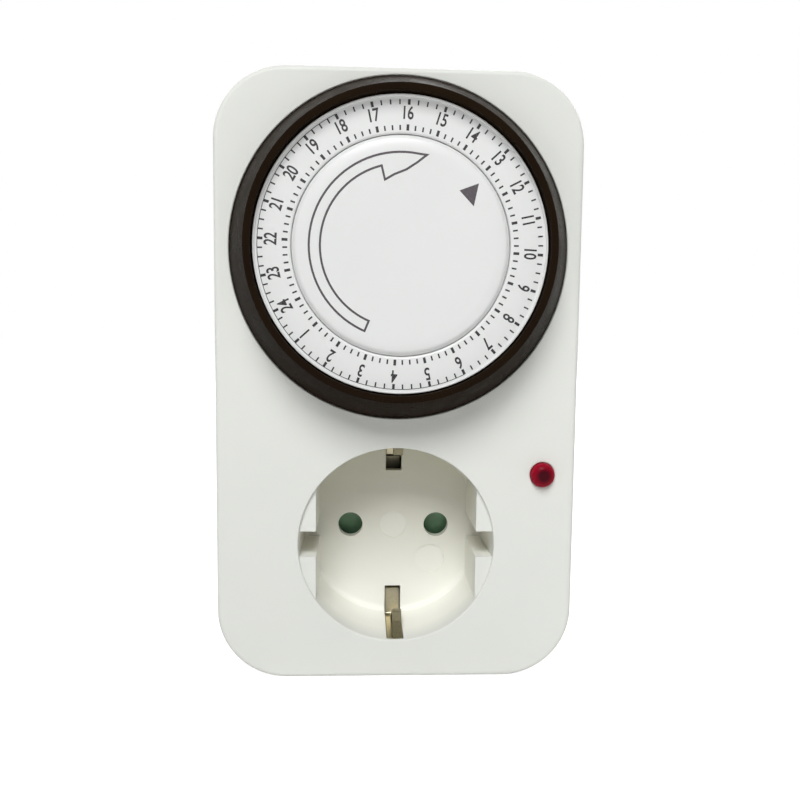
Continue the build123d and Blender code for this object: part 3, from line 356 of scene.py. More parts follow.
# %% Rolled brass and zinc-plated steel
brass, tree, shader, place = new_finish("brass_rolled_strip")
rolled = streaks(tree, place, (0.01, 0.0003, 0.0003))
add(tree, shader, {"Base Color": linear("#D2AB62"), "Metallic": 1.0,
                   "Roughness": span(tree, rolled, 0.25, 0.42)})

zinc_steel, tree, shader, place = new_finish("steel_zinc_plated")
clouds = noise(tree, place, 0.0015, 3.0)
add(tree, shader, {"Base Color": blend(tree, clouds, "#B8BCC0", "#CDD0D0"), "Metallic": 1.0,
                   "Roughness": span(tree, clouds, 0.28, 0.5)})
print("metals ready:", brass.name, zinc_steel.name)

# %% [markdown]
# The coil is enamelled copper wire, wound in layers on a black bobbin. The real wire is thinner
# than a hair, about 0.05 mm, so the turns are drawn 0.3 mm apart to be seen.

# %% Copper winding and bobbin
WIRE_SPACING = 0.0003
copper, tree, shader, place = new_finish("copper_enamelled_winding")
turns = bands(tree, place, WIRE_SPACING, "Y")
add(tree, shader, {"Base Color": blend(tree, turns, "#6E2C12", "#C26A34"), "Metallic": 0.7,
                   "Roughness": 0.3, "Normal": relief(tree, turns, 0.6, 0.0001)})

bobbin_black, tree, shader, place = new_finish("polyamide_black_bobbin")
flow = noise(tree, place, 0.003)
add(tree, shader, {"Base Color": linear("#232425"), "Roughness": span(tree, flow, 0.35, 0.55)})
print("winding drawn at", WIRE_SPACING / MILLIMETRE, "mm")

# %% [markdown]
# The works run in three plastics: the plates are polyester with glass fibre, grey and dry to
# the eye with short streaks; the wheels are natural acetal, milky and smooth; the lever is
# orange acetal, so that a fitter finds it. Streaks and milkiness could be left out, but without
# them all three look like one paint.

# %% Plastics of the movement
polyester_grey, tree, shader, place = new_finish("polyester_glass_filled_grey")
fibres = streaks(tree, place, (0.003, 0.0004, 0.0006), 3.0)
add(tree, shader, {"Base Color": blend(tree, fibres, "#5B6064", "#6C7175"), "Roughness": 0.58})

acetals = []
for name, dark, pale in (("acetal_natural_moulded", "#E2DDCC", "#EFEBDF"),
                         ("acetal_orange_moulded", "#C95A22", "#DD7434")):
    acetal, tree, shader, place = new_finish(name)
    milk = noise(tree, place, 0.004)
    add(tree, shader, {"Base Color": blend(tree, milk, dark, pale), "Roughness": 0.33, "IOR": 1.48,
                       "Subsurface Weight": 0.1, "Subsurface Scale": 0.0008})
    acetals.append(acetal)
acetal_natural, acetal_orange = acetals
print("movement plastics:", polyester_grey.name, [acetal.name for acetal in acetals])

# %% [markdown]
# Three small parts are left: the neon lamp is soda glass, drawn and a little wavy; the resistor
# is dipped in tan lacquer with darker bands round it; the rotor is pressed ferrite, a dark
# ceramic with a coarse, dry surface. The bands are a wave along the resistor with a spacing of
# 1.3 mm, sharpened to stripes.

# %% Glass, lacquer and ferrite
lamp_glass, tree, shader, place = new_finish("soda_glass_drawn")
ripple = relief(tree, noise(tree, place, 0.001), 0.1, 0.00005)
add(tree, shader, {"Base Color": linear("#F6F1E8"), "Roughness": 0.03, "IOR": 1.52,
                   "Transmission Weight": 0.95, "Normal": ripple})

lacquer, tree, shader, place = new_finish("lacquer_dipped_resistor")
stripes = span(tree, bands(tree, place, 0.0013, "Z"), 0.0, 1.0, 0.7, 0.75)
add(tree, shader, {"Base Color": blend(tree, stripes, "#C6AC7C", "#6B3B22"), "Roughness": 0.25})

ferrite, tree, shader, place = new_finish("ferrite_pressed")
grit = relief(tree, noise(tree, place, 0.0003), 0.3, 0.00003)
add(tree, shader, {"Base Color": linear("#2E2D2F"), "Roughness": 0.72, "Normal": grit})
print("small finishes ready:", lamp_glass.name, lacquer.name, ferrite.name)

# %% [markdown]
# Some CAD solids are right as they are and only need their finish. Every such node is named
# here beside its finish, and the pieces that are made anew below take theirs when they are made.

# %% Finishes for the CAD nodes
dressed = 0
for finish, names in (
    (polyester_grey, ("switch_base", "shutter_tray", "movement_front_plate",
                      "movement_back_plate")),
    (acetal_natural, ("first_wheel", "second_wheel", "third_wheel", "clutch_wheel",
                      "output_pinion")),
    (acetal_orange, ("follower_lever",)), (polyamide_green, ("shutter",)),
    (lamp_glass, ("neon_lamp",)), (lacquer, ("neon_resistor",)), (bobbin_black, ("motor_bobbin",)),
    (copper, ("motor_coil",)), (ferrite, ("rotor",)),
    (brass, ("neutral_contact", "live_contact", "live_feed", "switch_blade")),
    (zinc_steel, ("shutter_spring", "gear_arbors", "motor_can", "clutch_spring", "lever_pin")),
):
    for name in names:
        if not nodes[name].material_slots:
            nodes[name].data.materials.append(None)
        for slot in nodes[name].material_slots:
            slot.material = finish
        dressed += 1
print("CAD nodes with a finish of their own:", dressed)

# %% [markdown]
# The camera stands close in front of the device, a little left of its middle and above it, and
# looks slightly down. It could aim at a target with a constraint, but three plain turns say
# exactly where it looks: tilted down, swung to the right, and rolled by less than a degree.

# %% Camera
EYE = (-0.0071, -0.2146, 0.0447)
TILT, SWING, ROLL = 5.37, 2.66, 0.63
lens_of_camera = bpy.data.cameras.new("camera")
lens_of_camera.lens = 36.99
lens_of_camera.sensor_width = 36.0
lens_of_camera.clip_start = 0.01
camera = show("camera", lens_of_camera)
camera.matrix_world = (
    Matrix.Translation(EYE)
    @ Matrix.Rotation(radians(-SWING), 4, "Z")
    @ Matrix.Rotation(radians(90 - TILT), 4, "X")
    @ Matrix.Rotation(radians(ROLL), 4, "Z")
)
bpy.context.scene.camera = camera
bpy.context.scene.view_settings.view_transform = "Standard"
print("camera at", [round(part / MILLIMETRE) for part in EYE], "mm")

# %% [markdown]
# The light is plain and soft: a large lamp above and in front, which leaves the upper part of
# the socket well in shade, a weak one low on the left, one behind for the plug's side, and an
# even pale world. The background is white where the camera sees it, straight, in a reflection
# or through a clear part, and the device itself is lit by a dimmer world, so that its pale
# plastic doesn't wash out.

# %% World and lamps
DIM_WORLD = 0.1
AIM = (0.0, -0.03, 0.03)
world = bpy.data.worlds.new("pale_room")
bpy.context.scene.world = world
world.use_nodes = True
tree = world.node_tree
add(tree, tree.nodes["Background"], {"Color": linear("#FFFFFF"),
                                     "Strength": span(tree, in_view(tree), DIM_WORLD, 1.0)})

for name, power, size, place in (
    ("lamp_above", 14.6, 0.6, (-0.11, -0.92, 0.98)),
    ("lamp_left", 0.6, 0.3, (-0.45, -0.55, -0.1)),
    ("lamp_behind", 9.0, 0.8, (0.5, 0.9, 0.7)),
):
    lamp = bpy.data.lights.new(name, "AREA")
    lamp.energy = power
    lamp.size = size
    holder = show(name, lamp)
    holder.location = place
    holder.rotation_euler = (Vector(AIM) - Vector(place)).to_track_quat("-Z", "Y").to_euler()
print("lamps:", [lamp.name for lamp in bpy.data.lights])

# %% [markdown]
# The next helpers are for modelling, each a short chain of bmesh operators. A part starts as a
# flat outline that is raised, or as half an outline that is spun, as on a lathe. The editor's
# tools would do the same by hand. In code each step keeps its measure.

# %% Helpers that make a shape
CLOSE = 0.0005


def pick(parts, kind):
    """Only the corners, edges or faces among some parts."""
    return [part for part in parts if isinstance(part, kind)]


def everything(shape):
    """All corners, edges and faces of a shape."""
    return shape.verts[:] + shape.edges[:] + shape.faces[:]


def move(shape, *way):
    """Move a whole shape."""
    bmesh.ops.translate(shape, vec=way, verts=shape.verts)


def turn(shape, degrees):
    """Turn a whole shape round the middle of the drawing."""
    bmesh.ops.rotate(shape, matrix=Matrix.Rotation(radians(degrees), 3, "Z"), verts=shape.verts)


def repeat(shape, count, step):
    """Copy a shape round the middle of the drawing, a step in degrees further each time."""
    bmesh.ops.spin(shape, geom=everything(shape), axis=(0, 0, 1), cent=(0, 0, 0),
                   angle=radians(step * (count - 1)), steps=count - 1, use_duplicate=True)


def grow(shape, faces, *way):
    """Extrude faces along a way."""
    grown = bmesh.ops.extrude_face_region(shape, geom=faces)["geom"]
    bmesh.ops.translate(shape, vec=way, verts=pick(grown, bmesh.types.BMVert))


def round_corners(shape, corners, amount, segments):
    """Round corners of an outline."""
    bmesh.ops.bevel(shape, geom=corners, offset=amount, affect="VERTICES", segments=segments,
                    profile=0.5, material=-1)


def block(width, height, low, high, centre=(0.0, 0.0), corner=0.0, segments=12):
    """A slab with an upright outline of width by height, its corners rounded if asked."""
    shape = bmesh.new()
    bmesh.ops.create_grid(shape, x_segments=1, y_segments=1, size=0.5)
    bmesh.ops.scale(shape, vec=(width, height, 1), verts=shape.verts)
    if corner:
        round_corners(shape, shape.verts[:], corner, segments)
    move(shape, *centre, low)
    grow(shape, shape.faces[:], 0, 0, high - low)
    return shape


def bar(radius, low, high, centre=(0.0, 0.0), segments=48):
    """A round bar that stands on the drawing."""
    shape = bmesh.new()
    bmesh.ops.create_cone(shape, cap_ends=True, segments=segments, radius1=radius, radius2=radius,
                          depth=high - low, matrix=Matrix.Translation((*centre, (low + high) / 2)))
    return shape


def lathe(outline, centre=(0.0, 0.0), steps=64, closed=False, rounding=(), segments=3):
    """Spin half an outline of (radius, height) points; rounding is (point, radius) for some."""
    shape = bmesh.new()
    points = [shape.verts.new((radius, 0, height)) for radius, height in outline]
    for start, end in zip(points, points[1:] + points[:1] if closed else points[1:]):
        shape.edges.new((start, end))
    for number, radius in rounding:
        round_corners(shape, [points[number]], radius, segments)
    bmesh.ops.spin(shape, geom=shape.verts[:] + shape.edges[:], axis=(0, 0, 1), cent=(0, 0, 0),
                   angle=2 * pi, steps=steps, use_merge=True)
    bmesh.ops.remove_doubles(shape, verts=shape.verts, dist=CLOSE)
    bmesh.ops.recalc_face_normals(shape, faces=shape.faces)
    move(shape, *centre, 0)
    return shape


trial = block(10, 20, 0, 5, corner=2)
print("a rounded block of 10 x 20 x 5 mm holds", round(trial.calc_volume()), "mm3")
trial.free()

# %% [markdown]
# Shapes are put together, cut with each other and softened, and a finished one becomes a piece
# that rides on a body. An exact Boolean is slower than a fast one, but it leaves no stray faces.

# %% Helpers that finish a shape
def as_mesh(name, shape):
    """A mesh of a shape, which ends the shape."""
    mesh = bpy.data.meshes.new(name)
    shape.to_mesh(mesh)
    shape.free()
    return mesh


def together(*shapes):
    """Put several shapes in one, without joining their surfaces."""
    whole = bmesh.new()
    for shape in shapes:
        mesh = as_mesh("part", shape)
        whole.from_mesh(mesh)
        bpy.data.meshes.remove(mesh)
    return whole


def combine(shape, tool, operation="DIFFERENCE"):
    """Cut a shape with a tool, or join the two, with an exact Boolean."""
    holders = [show("part", as_mesh("part", part)) for part in (shape, tool)]
    cut = holders[0].modifiers.new("cut", "BOOLEAN")
    cut.operation = operation
    cut.solver = "EXACT"
    cut.object = holders[1]
    result = bmesh.new()
    result.from_object(holders[0], bpy.context.evaluated_depsgraph_get())
    for holder in holders:
        bpy.data.meshes.remove(holder.data)
    bmesh.ops.remove_doubles(result, verts=result.verts, dist=CLOSE)
    return result


def soften(shape, width, chosen=lambda middle: True, sharp=30, segments=2):
    """Round the sharp edges whose middle is chosen, as a mould's edges are never quite sharp."""
    edges = [
        edge for edge in shape.edges
        if len(edge.link_faces) == 2 and edge.calc_face_angle() > radians(sharp)
        and chosen((edge.verts[0].co + edge.verts[1].co) / 2)
    ]
    bmesh.ops.bevel(shape, geom=edges, offset=width, affect="EDGES", segments=segments, profile=0.5,
                    material=-1, clamp_overlap=True)
    return len(edges)


def keep(name, shape, finish, body, slot, *replaced):
    """Stand a finished shape up in its place as a piece that rides on a body."""
    shape.transform(STAND_UP)
    mesh = as_mesh(name, shape)
    mesh.shade_smooth()
    mesh.set_sharp_from_angle(angle=radians(35))
    mesh.materials.append(finish)
    piece = show(name, mesh)
    piece.modifiers.new("even_shading", "WEIGHTED_NORMAL").keep_sharp = True
    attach(piece, body)
    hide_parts(*replaced)
    print(name, len(mesh.polygons), "faces")


trial = together(bar(3, 0, 2), bar(3, 4, 6))
print("two bars together have", len(trial.faces), "faces")
trial.free()

# %% [markdown]
# The floor is one pale sheet that the device stands on. Its own light is only for the camera
# and for reflections, so it looks white and still darkens where the device shades it.

# %% Floor
FLOOR_LIGHT = 0.91
paper, tree, shader, place = new_finish("paper_matt_white")
fibre = blend(tree, noise(tree, place, 0.004), "#E8E8E7", "#ECECEB")
lift = maths(tree, "MULTIPLY", in_view(tree), FLOOR_LIGHT)
add(tree, shader, {"Base Color": fibre, "Roughness": 0.9, "Specular IOR Level": 0.0,
                   "Emission Color": linear("#FFFFFF"), "Emission Strength": lift})

sheet = bmesh.new()
bmesh.ops.create_grid(sheet, x_segments=1, y_segments=1, size=3.0)
move(sheet, 0, 0, cad_low.z)
floor = show("floor", as_mesh("floor", sheet))
floor.data.materials.append(paper)
print("floor at", round(cad_low.z / MILLIMETRE, 1), "mm")

# %% [markdown]
# The front shell is one moulding: a rounded box that is open behind, with a hole for the dial
# and a cup for the plug. It could be drawn as one mesh of matching loops, but round holes in a
# flat face meet rounded corners, and exact Booleans keep all of them true. The solids are
# joined first and then cut, in the order a toolmaker would cut the mould. The cup, the lamp's
# tube and the screw pillars end inside the front wall, so that they join it.

# %% Front shell: box, cup and cuts
WIDTH, HEIGHT, CORNER, WALL = 72.0, 120.95, 14.0, 2.2
FRONT, SPLIT = 52.5, 27.5
INSIDE = FRONT - WALL
IN_WALL, ABOVE = 51.0, FRONT + 1
WELL, WELL_FLOOR = 19.75, 35.0
DIAL_OPENING, DIAL_FLOOR = 33.08, 45.1
TUBE, TUBE_BORE, LENS_OPENING = 4.6, 3.25, 2.48
PILLAR, SCREW_BORE, SCREW_REACH = 3.3, 1.45, 41.5
NEAR = 0.1
MIDDLE = (0.0, 32.925)
DIAL = (0.0, 58.8)
SCREWS = [(-27.5, -19.05), (27.5, -19.05), (-27.5, 84.9), (27.5, 84.9)]

shell = block(WIDTH, HEIGHT, SPLIT, FRONT, MIDDLE, corner=CORNER, segments=20)
soften(shell, 1.1, lambda middle: middle.z > FRONT - 0.01, segments=5)
shell = combine(shell, block(WIDTH - 2 * WALL, HEIGHT - 2 * WALL, SPLIT - 2, INSIDE, MIDDLE,
                             corner=CORNER - WALL, segments=16))
shell = combine(shell, together(
    bar(WELL + WALL, WELL_FLOOR - WALL, IN_WALL, segments=96),
    bar(TUBE, 39.3, IN_WALL, LAMP, segments=32),
    *[bar(PILLAR, SPLIT, IN_WALL, place, segments=32) for place in SCREWS],
), "UNION")
shell = combine(shell, together(
    bar(DIAL_OPENING, DIAL_FLOOR, ABOVE, DIAL, segments=128),
    lathe([(0, ABOVE), (WELL, ABOVE), (WELL, WELL_FLOOR), (0, WELL_FLOOR)], steps=96,
          rounding=[(2, 1.3)], segments=5),
    lathe([(0, ABOVE), (LENS_OPENING, ABOVE), (LENS_OPENING, INSIDE), (TUBE_BORE, INSIDE),
           (TUBE_BORE, 39.0), (0, 39.0)], LAMP, steps=32),
    *[bar(SCREW_BORE, SPLIT - 1, SCREW_REACH, place, segments=24) for place in SCREWS],
))
print("front shell so far:", len(shell.faces), "faces")

# %% [markdown]
# In the well stand two ledges that guide the plug's flats, each with a notch. A ring is raised
# first and a cross-shaped space is cut out of it, which leaves the four ledge halves. Then come
# the contact holes, the slots for the earth clips, two bare round marks and the slot in the
# side wall. Last, the edges round the openings, inside the well and along the seam are softened.

# %% Front shell: ledges, holes and soft edges
BETWEEN_FLATS, NOTCH, LEDGE_TOP, LEDGE_RING = 32.4, 5.3, 51.7, 20.8
BELOW_FLOOR, ABOVE_FLOOR = 32.0, 36.0
CONTACTS, CONTACT_HOLE = (-9.5, 9.5), 2.7
CLIP_SLOT = 3.5
ledges = bar(LEDGE_RING, 34.5, LEDGE_TOP, segments=96)
ledges = combine(ledges, block(BETWEEN_FLATS, 60, 30, 60))
ledges = combine(ledges, block(60, NOTCH, 30, 60))
shell = combine(shell, ledges, "UNION")

side_slot = block(5.0, 16.6, -3.0, 3.0, corner=2.49, segments=10)
side_slot.transform(Matrix.Translation((-35.0, 29.7, 36.0)) @ Matrix.Rotation(pi / 2, 4, "Y"))
shell = combine(shell, together(
    *[bar(CONTACT_HOLE, BELOW_FLOOR, ABOVE_FLOOR, (x, 0.0), segments=32) for x in CONTACTS],
    block(CLIP_SLOT, 10.0, BELOW_FLOOR, LEDGE_TOP, (0.0, 17.2)),
    block(CLIP_SLOT, 8.2, BELOW_FLOOR, LEDGE_TOP, (0.0, -18.1)),
    *[bar(radius, floor, ABOVE_FLOOR, (x, y), segments=48) for x, y, radius, floor in MARKS],
    side_slot,
))


def in_well(middle):
    """Whether a place is in the well and outside both round marks."""
    off_marks = all((middle.xy - Vector((x, y))).length > radius + NEAR
                    for x, y, radius, floor in MARKS)
    return (WELL_FLOOR - NEAR < middle.z < LEDGE_TOP + NEAR
            and middle.xy.length < LEDGE_RING and off_marks)


def on_seam(middle):
    """Whether a place is on the outer wall or in a corner, at the seam between the shells."""
    x, y = WIDTH / 2 - abs(middle.x), HEIGHT / 2 - abs(middle.y - MIDDLE[1])
    return middle.z < SPLIT + 0.01 and (min(x, y) < NEAR or max(x, y) < CORNER)


rims = soften(shell, 0.3, lambda middle: middle.z > FRONT - 0.01, segments=3)
inner = soften(shell, 0.2, in_well)
seam = soften(shell, 0.25, on_seam)
print("softened edges:", rims, inner, seam)
keep("front_shell", shell, abs_pale, "housing", "housing_plastic", "front_housing")

# %% [markdown]
# The dial's drum is one white moulding: a cup with a hub, a recess for the middle disc, a raised
# number ring with a thin lip, and a toothed rim behind. Half of its section is spun, as on a
# lathe. Each tooth is a small block that is narrowed at its tip and repeated round the rim.

# %% Dial drum
STEPS, HOURS = 96, 24
STEP, HOUR = 360 / STEPS, 360 / HOURS
REST = -137.6
BACK, TEETH_TOP, PLATE, RECESS, FACE, LIP = 41.7, 44.9, 57.7, 58.9, 60.0, 60.55
drum = lathe([
    (4.0, BACK), (6.0, BACK), (6.0, PLATE), (25.7, PLATE), (25.7, BACK), (26.9, BACK),
    (26.9, TEETH_TOP), (27.5, TEETH_TOP), (27.5, LIP), (27.15, LIP), (27.15, FACE), (20.5, FACE),
    (20.5, RECESS), (4.0, RECESS),
], steps=128, closed=True, rounding=[(8, 0.12), (9, 0.12), (11, 0.45)])

ROOT_OF_TEETH, TIP_OF_TEETH, TOOTH_WIDTH = 26.8, 31.55, 1.1
tooth = block(TIP_OF_TEETH - ROOT_OF_TEETH, TOOTH_WIDTH, BACK, TEETH_TOP,
              ((ROOT_OF_TEETH + TIP_OF_TEETH) / 2, 0.0))
tips = [corner for corner in tooth.verts if corner.co.x > TIP_OF_TEETH - 1]
bmesh.ops.scale(tooth, vec=(1, 0.45, 1), verts=tips)
turn(tooth, REST)
repeat(tooth, STEPS, STEP)
drum = together(drum, tooth)
move(drum, *DIAL, 0)
keep("dial_drum_turned", drum, abs_white, "dial", "dial_plastic", "dial_drum")

# %% [markdown]
# The disc in the middle doesn't turn. It stands on the dial's post and carries the printed
# arrow. Its edge slopes down gently and then falls off, which catches a line of light, and the
# gap round it is dark. A cylinder with a bevel would do as well, but the lathe gives the stem in
# the same step.

# %% Middle disc
TOP, UNDERSIDE, STEM_END = 60.5, 59.2, 47.2
disc = lathe([(0.0, TOP), (18.2, TOP), (19.7, 60.26), (20.35, 59.5), (20.2, UNDERSIDE),
              (2.45, UNDERSIDE), (2.45, STEM_END), (0.0, STEM_END)], DIAL, steps=128,
             rounding=[(1, 0.6), (2, 0.4)], segments=4)
keep("middle_disc", disc, abs_white, "housing", "dial_plastic", "centre_disc")

# %% [markdown]
# Ninety-six tappets stand round the dial, one for each quarter of an hour, and are pressed in
# where the socket is to be on. Each is a wedge with a sloping outer face and a flat tail. One
# is drawn as its side profile, raised to both sides, cut along the two radii and softened. Four
# of them make an hour, and each hour is turned to its place.

# %% Tappets
GAP = 0.002
TAPPET_FOOT = 48.6
wedge = bmesh.new()
profile = [(27.75, 62.4), (29.0, 62.4), (32.9, 52.5), (32.9, 50.9), (31.8, TAPPET_FOOT),
           (27.75, TAPPET_FOOT)]
corners = [wedge.verts.new((radius, -2.0, height)) for radius, height in profile]
grow(wedge, bmesh.ops.contextual_create(wedge, geom=corners)["faces"], 0, 4.0, 0)
bmesh.ops.recalc_face_normals(wedge, faces=wedge.faces)
for way in (1, -1):
    outwards = Vector((-sin(radians(STEP / 2)), way * cos(radians(STEP / 2)), 0))
    cut = bmesh.ops.bisect_plane(wedge, geom=everything(wedge), plane_co=-GAP * outwards,
                                 plane_no=outwards, clear_outer=True)["geom_cut"]
    bmesh.ops.contextual_create(wedge, geom=pick(cut, bmesh.types.BMEdge))
bmesh.ops.recalc_face_normals(wedge, faces=wedge.faces)
soften(wedge, 0.15, lambda middle: middle.z > 50 and abs(middle.y) < 0.1)
quarters = together(wedge, block(2.0, 0.66, BACK, TAPPET_FOOT, (28.8, 0.0)))
turn(quarters, REST + STEP / 2)
repeat(quarters, STEPS // HOURS, STEP)
for hour in range(HOURS):
    hour_shape = quarters.copy()
    turn(hour_shape, HOUR * hour)
    move(hour_shape, *DIAL, 0)
    keep(f"tappets_of_hour_{hour + 1:02d}", hour_shape, abs_black, f"tappets_{hour + 1:02d}",
         "tappet_plastic", f"tappets_hour_{hour + 1:02d}")
quarters.free()

# %% [markdown]
# The numbers are plain figures in a narrow sans face, with their tops outwards, one on every
# hour's line. Each is set as text, given a hair of thickness and made a mesh. It is centred by
# its own width, because a 1 has more room on its left than on its right, and then brought to
# its place on the ring. The figures are 2.3 mm tall, and the font's own are 0.7 of its size.

# %% Numbers
FIGURE, FONT_SHARE, BOLDER, NARROWER = 2.3, 0.7, 0.06, 0.74
FOOT_OF_FIGURES = 23.12
INK = 0.02
numbers = bmesh.new()
for hour in range(HOURS):
    text = bpy.data.curves.new("number", "FONT")
    text.body = str(hour + 1)
    text.size = FIGURE / FONT_SHARE
    text.offset = BOLDER
    text.space_character = 0.95
    text.extrude = INK / 2
    text.resolution_u = 3
    figure = bpy.data.meshes.new_from_object(show("number", text))
    across = [corner.co.x for corner in figure.vertices]
    figure.transform(
        Matrix.Translation((*DIAL, FACE + INK / 2))
        @ Matrix.Rotation(radians(REST + HOUR * hour - 90), 4, "Z")
        @ Matrix.Translation((0, FOOT_OF_FIGURES, 0))
        @ Matrix.Diagonal((NARROWER, 1, 1, 1))
        @ Matrix.Translation((-(min(across) + max(across)) / 2, 0, 0))
    )
    numbers.from_mesh(figure)
    bpy.data.meshes.remove(figure)
    bpy.data.curves.remove(text)
bmesh.ops.remove_doubles(numbers, verts=numbers.verts, dist=0.0001)
keep("printed_numbers", numbers, ink_black, "dial", "dial_plastic")

# %% [markdown]
# Two rings of ticks stand outside and inside the numbers: a bold one for every hour and three
# thin ones for the quarters between. A thin line joins the outer ticks along the night half. One
# tick of each kind is a small slab, and copies of it are turned round the dial.

# %% Ticks and the night line
NIGHT = (REST + 255, REST + 435)


def ticks(inner, outer, width, quarter):
    """Radial strokes, one for each hour, at a number of quarters past it."""
    stroke = block(outer - inner, width, FACE, FACE + INK, ((inner + outer) / 2, 0.0))
    turn(stroke, REST + STEP * quarter)
    repeat(stroke, HOURS, HOUR)
    return stroke


def turned_line(inner, outer, start, end):
    """A flat printed line along a circle, from one angle to another."""
    line = bmesh.new()
    ends = [line.verts.new((*polar(radius, start), FACE)) for radius in (inner, outer)]
    line.edges.new(ends)
    bmesh.ops.spin(line, geom=line.verts[:] + line.edges[:], axis=(0, 0, 1), cent=(0, 0, 0),
                   angle=radians(end - start), steps=round((end - start) / 3))
    bmesh.ops.recalc_face_normals(line, faces=line.faces)
    grow(line, line.faces[:], 0, 0, INK)
    return line


marks = together(
    ticks(25.65, 26.65, 0.5, 0),
    *[ticks(25.7, 26.6, 0.28, quarter) for quarter in (1, 2, 3)],
    ticks(21.05, 22.15, 0.5, 0),
    *[ticks(21.1, 22.0, 0.3, quarter) for quarter in (1, 2, 3)],
    turned_line(26.6, 26.72, *NIGHT),
)
move(marks, *DIAL, 0)
keep("printed_ticks", marks, ink_black, "dial", "dial_plastic")

# %% [markdown]
# On the middle disc a printed arrow shows which way the dial turns, and a solid triangle points
# at the present time. The arrow is an outline: its whole shape is made first, then the face is
# inset by the width of the line and its middle removed, so the line is equally wide all round.

# %% Arrow and pointer
OUTER, INNER, TAIL, LINE = 17.3, 14.85, 247.5, 0.4
sweep = [polar(OUTER, angle) for angle in range(80, 248, 4)] + [polar(OUTER, TAIL)]
back = [polar(INNER, angle) for angle in (TAIL, *range(244, 105, -4), 105.3)]
head = [polar(radius, angle) for radius, angle in
        ((12.2, 105.6), (12.95, 96.0), (13.83, 86.3), (15.3, 79.5), (17.5, 73.3))]
arrow = bmesh.new()
corners = [arrow.verts.new((*point, TOP)) for point in sweep + back + head]
outline = [arrow.edges.new(pair) for pair in zip(corners, corners[1:] + corners[:1])]
face = bmesh.ops.contextual_create(arrow, geom=outline)["faces"]
bmesh.ops.inset_region(arrow, faces=face, thickness=LINE, use_even_offset=True, use_boundary=True)
inside = max(arrow.faces, key=lambda part: len(part.verts))
bmesh.ops.delete(arrow, geom=[inside], context="FACES")
bmesh.ops.recalc_face_normals(arrow, faces=arrow.faces)
if arrow.faces[:][0].normal.z < 0:
    bmesh.ops.reverse_faces(arrow, faces=arrow.faces)
grow(arrow, arrow.faces[:], 0, 0, INK)

pointer = bmesh.new()
corners = [pointer.verts.new((*polar(radius, angle), TOP)) for radius, angle in
           ((15.3, 29.3), (18.4, 39.4), (14.84, 44.2))]
bmesh.ops.contextual_create(pointer, geom=corners)
grow(pointer, pointer.faces[:], 0, 0, INK)
marks = together(arrow, pointer)
move(marks, *DIAL, 0)
keep("printed_arrow_and_pointer", marks, ink_grey, "housing", "dial_plastic")

# %% [markdown]
# The lamp shows through a small red lens with a rounded top. Its flange holds it from behind in
# the front wall, so it can't be pushed in or pulled out. It is one turned shape.

# %% Lens
FLANGE, STEM = 3.2, 2.43
lens = lathe([(0, 49.3), (FLANGE, 49.3), (FLANGE, INSIDE), (STEM, INSIDE), (STEM, 54.4), (0, 54.4)],
             LAMP, steps=48, rounding=[(4, 1.5)], segments=8)
keep("lens_turned", lens, acrylic_red, "housing", "lens_plastic", "indicator_lens")

# %% [markdown]
# Each plug pin is turned from one brass rod: a shank with a tapered tip, a root that sits in the
# boss, a head and a stub that is riveted to the contact strip behind. Both pins are the same.

# %% Plug pins
SHANK, ROOT, HEAD, STUB = 2.4, 2.2, 3.4, 1.4
for name, x in zip(("live", "neutral"), CONTACTS):
    pin = lathe([(0, -19.0), (1.1, -19.0), (SHANK, -17.7), (SHANK, 0), (ROOT, 0), (ROOT, 3.0),
                 (HEAD, 3.0), (HEAD, 4.2), (STUB, 4.2), (STUB, 5.6), (0, 5.6)], (x, 0.0), steps=48,
                rounding=[(1, 0.3), (2, 0.4)])
    keep(f"pin_turned_{name}", pin, nickel, "housing", "nickel", f"plug_pin_{name}")

# %% [markdown]
# Four screws hold the two shells together from behind. A screw is turned, and a cross is pressed
# in its head. The thread is hidden in the pillars and is left out.

# %% Screws
CROSS = (3.8, 0.7)
UNDER_HEAD, SCREW_END = 21.3, 39.5
screw = lathe([(0, 19.5), (3.0, 19.5), (3.0, UNDER_HEAD), (1.4, UNDER_HEAD), (1.4, 38.6),
               (0.6, SCREW_END), (0, SCREW_END)], steps=32, rounding=[(1, 0.35)])
for width, height in (CROSS, CROSS[::-1]):
    screw = combine(screw, block(width, height, 19.0, 20.7))
screws = []
for x, y in SCREWS:
    screws.append(screw.copy())
    move(screws[-1], x, y, 0)
screw.free()
keep("screws_with_cross", together(*screws), zinc_steel, "housing", "steel", "housing_screws")

# %% [markdown]
# The earth strip is bent from one sheet: a bridge with two legs that lie in the plug boss, and
# two springy clips that stand in the well's slots and bulge inwards to press on a plug. A bent
# strip is a line with rounded corners that is widened sideways and then given its thickness.

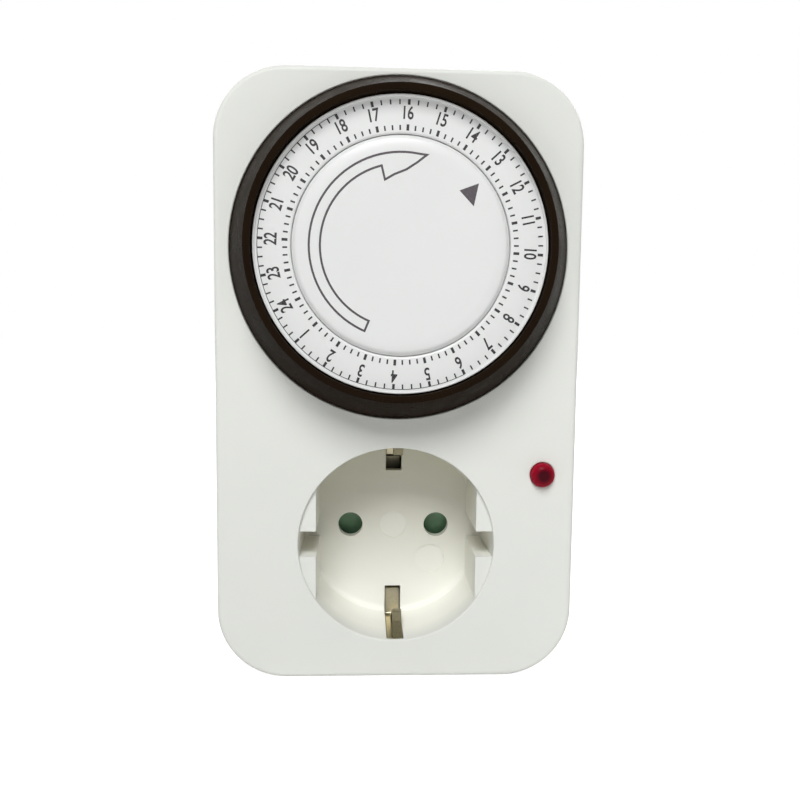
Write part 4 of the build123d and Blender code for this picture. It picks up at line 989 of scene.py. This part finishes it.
# %% Earth strip
def bent_strip(line, start, end, thickness, bend):
    """A strip along a line of (y, height) points, from one x to another, centred on the line."""
    strip = bmesh.new()
    points = [strip.verts.new((start, y, height)) for y, height in line]
    for first, second in zip(points, points[1:]):
        strip.edges.new((first, second))
    round_corners(strip, points[1:-1], bend, 4)
    grown = bmesh.ops.extrude_edge_only(strip, edges=strip.edges[:])["geom"]
    bmesh.ops.translate(strip, vec=(end - start, 0, 0), verts=pick(grown, bmesh.types.BMVert))
    bmesh.ops.recalc_face_normals(strip, faces=strip.faces)
    for corner in strip.verts:
        corner.co += corner.normal * thickness / 2
    bmesh.ops.solidify(strip, geom=strip.faces[:], thickness=thickness)
    bmesh.ops.recalc_face_normals(strip, faces=strip.faces)
    return strip


BRIDGE = [(18.9, 1.8), (18.9, 21.6), (17.7, 24.0), (-17.7, 24.0), (-18.9, 21.6), (-18.9, 1.8)]
BACKING = [(16.4, 24.3), (14.9, 31.0), (15.2, 32.2), (21.0, 33.7), (21.3, 35.0), (21.3, 49.5)]
CLIP = [(20.85, 35.0), (20.7, 36.6), (17.0, 42.0), (17.0, 43.2), (18.7, 45.4), (20.6, 50.0)]
strips = [bent_strip(BRIDGE, -1.9, 1.9, 0.6, 0.8)]
for line, start in ((BACKING, -1.6), (CLIP, -0.4)):
    for way in (1, -1):
        strips.append(bent_strip([(way * y, height) for y, height in line], start, 1.6, 0.4, 0.4))
strip = together(*strips)
print("strip edges softened:", soften(strip, 0.08, sharp=60))
keep("earth_strip_bent", strip, strip_nickel, "housing", "nickel", "earth_bracket")

# %% [markdown]
# Some moulded parts are right in every measure and only too sharp. A copy of the CAD piece is
# merged to one skin, its flat faces are joined again, and its real edges are rounded a little.
# The CAD piece itself stays as it is.

# %% Rear shell and manual switch
def softened_copy(node, width):
    """A copy of a CAD piece in drawing measures with its edges rounded."""
    shape = bmesh.new()
    shape.from_mesh(nodes[node].data)
    shape.transform(STAND_UP.inverted() @ nodes[node].matrix_world)
    bmesh.ops.remove_doubles(shape, verts=shape.verts, dist=0.001)
    bmesh.ops.dissolve_limit(shape, angle_limit=radians(1), verts=shape.verts, edges=shape.edges)
    print(node, "edges softened:", soften(shape, width))
    return shape


keep("rear_shell", softened_copy("rear_housing", 0.2), abs_pale, "housing", "housing_plastic",
     "rear_housing")
keep("manual_switch", softened_copy("override_slide", 0.25), abs_black, "override",
     "tappet_plastic", "override_slide")
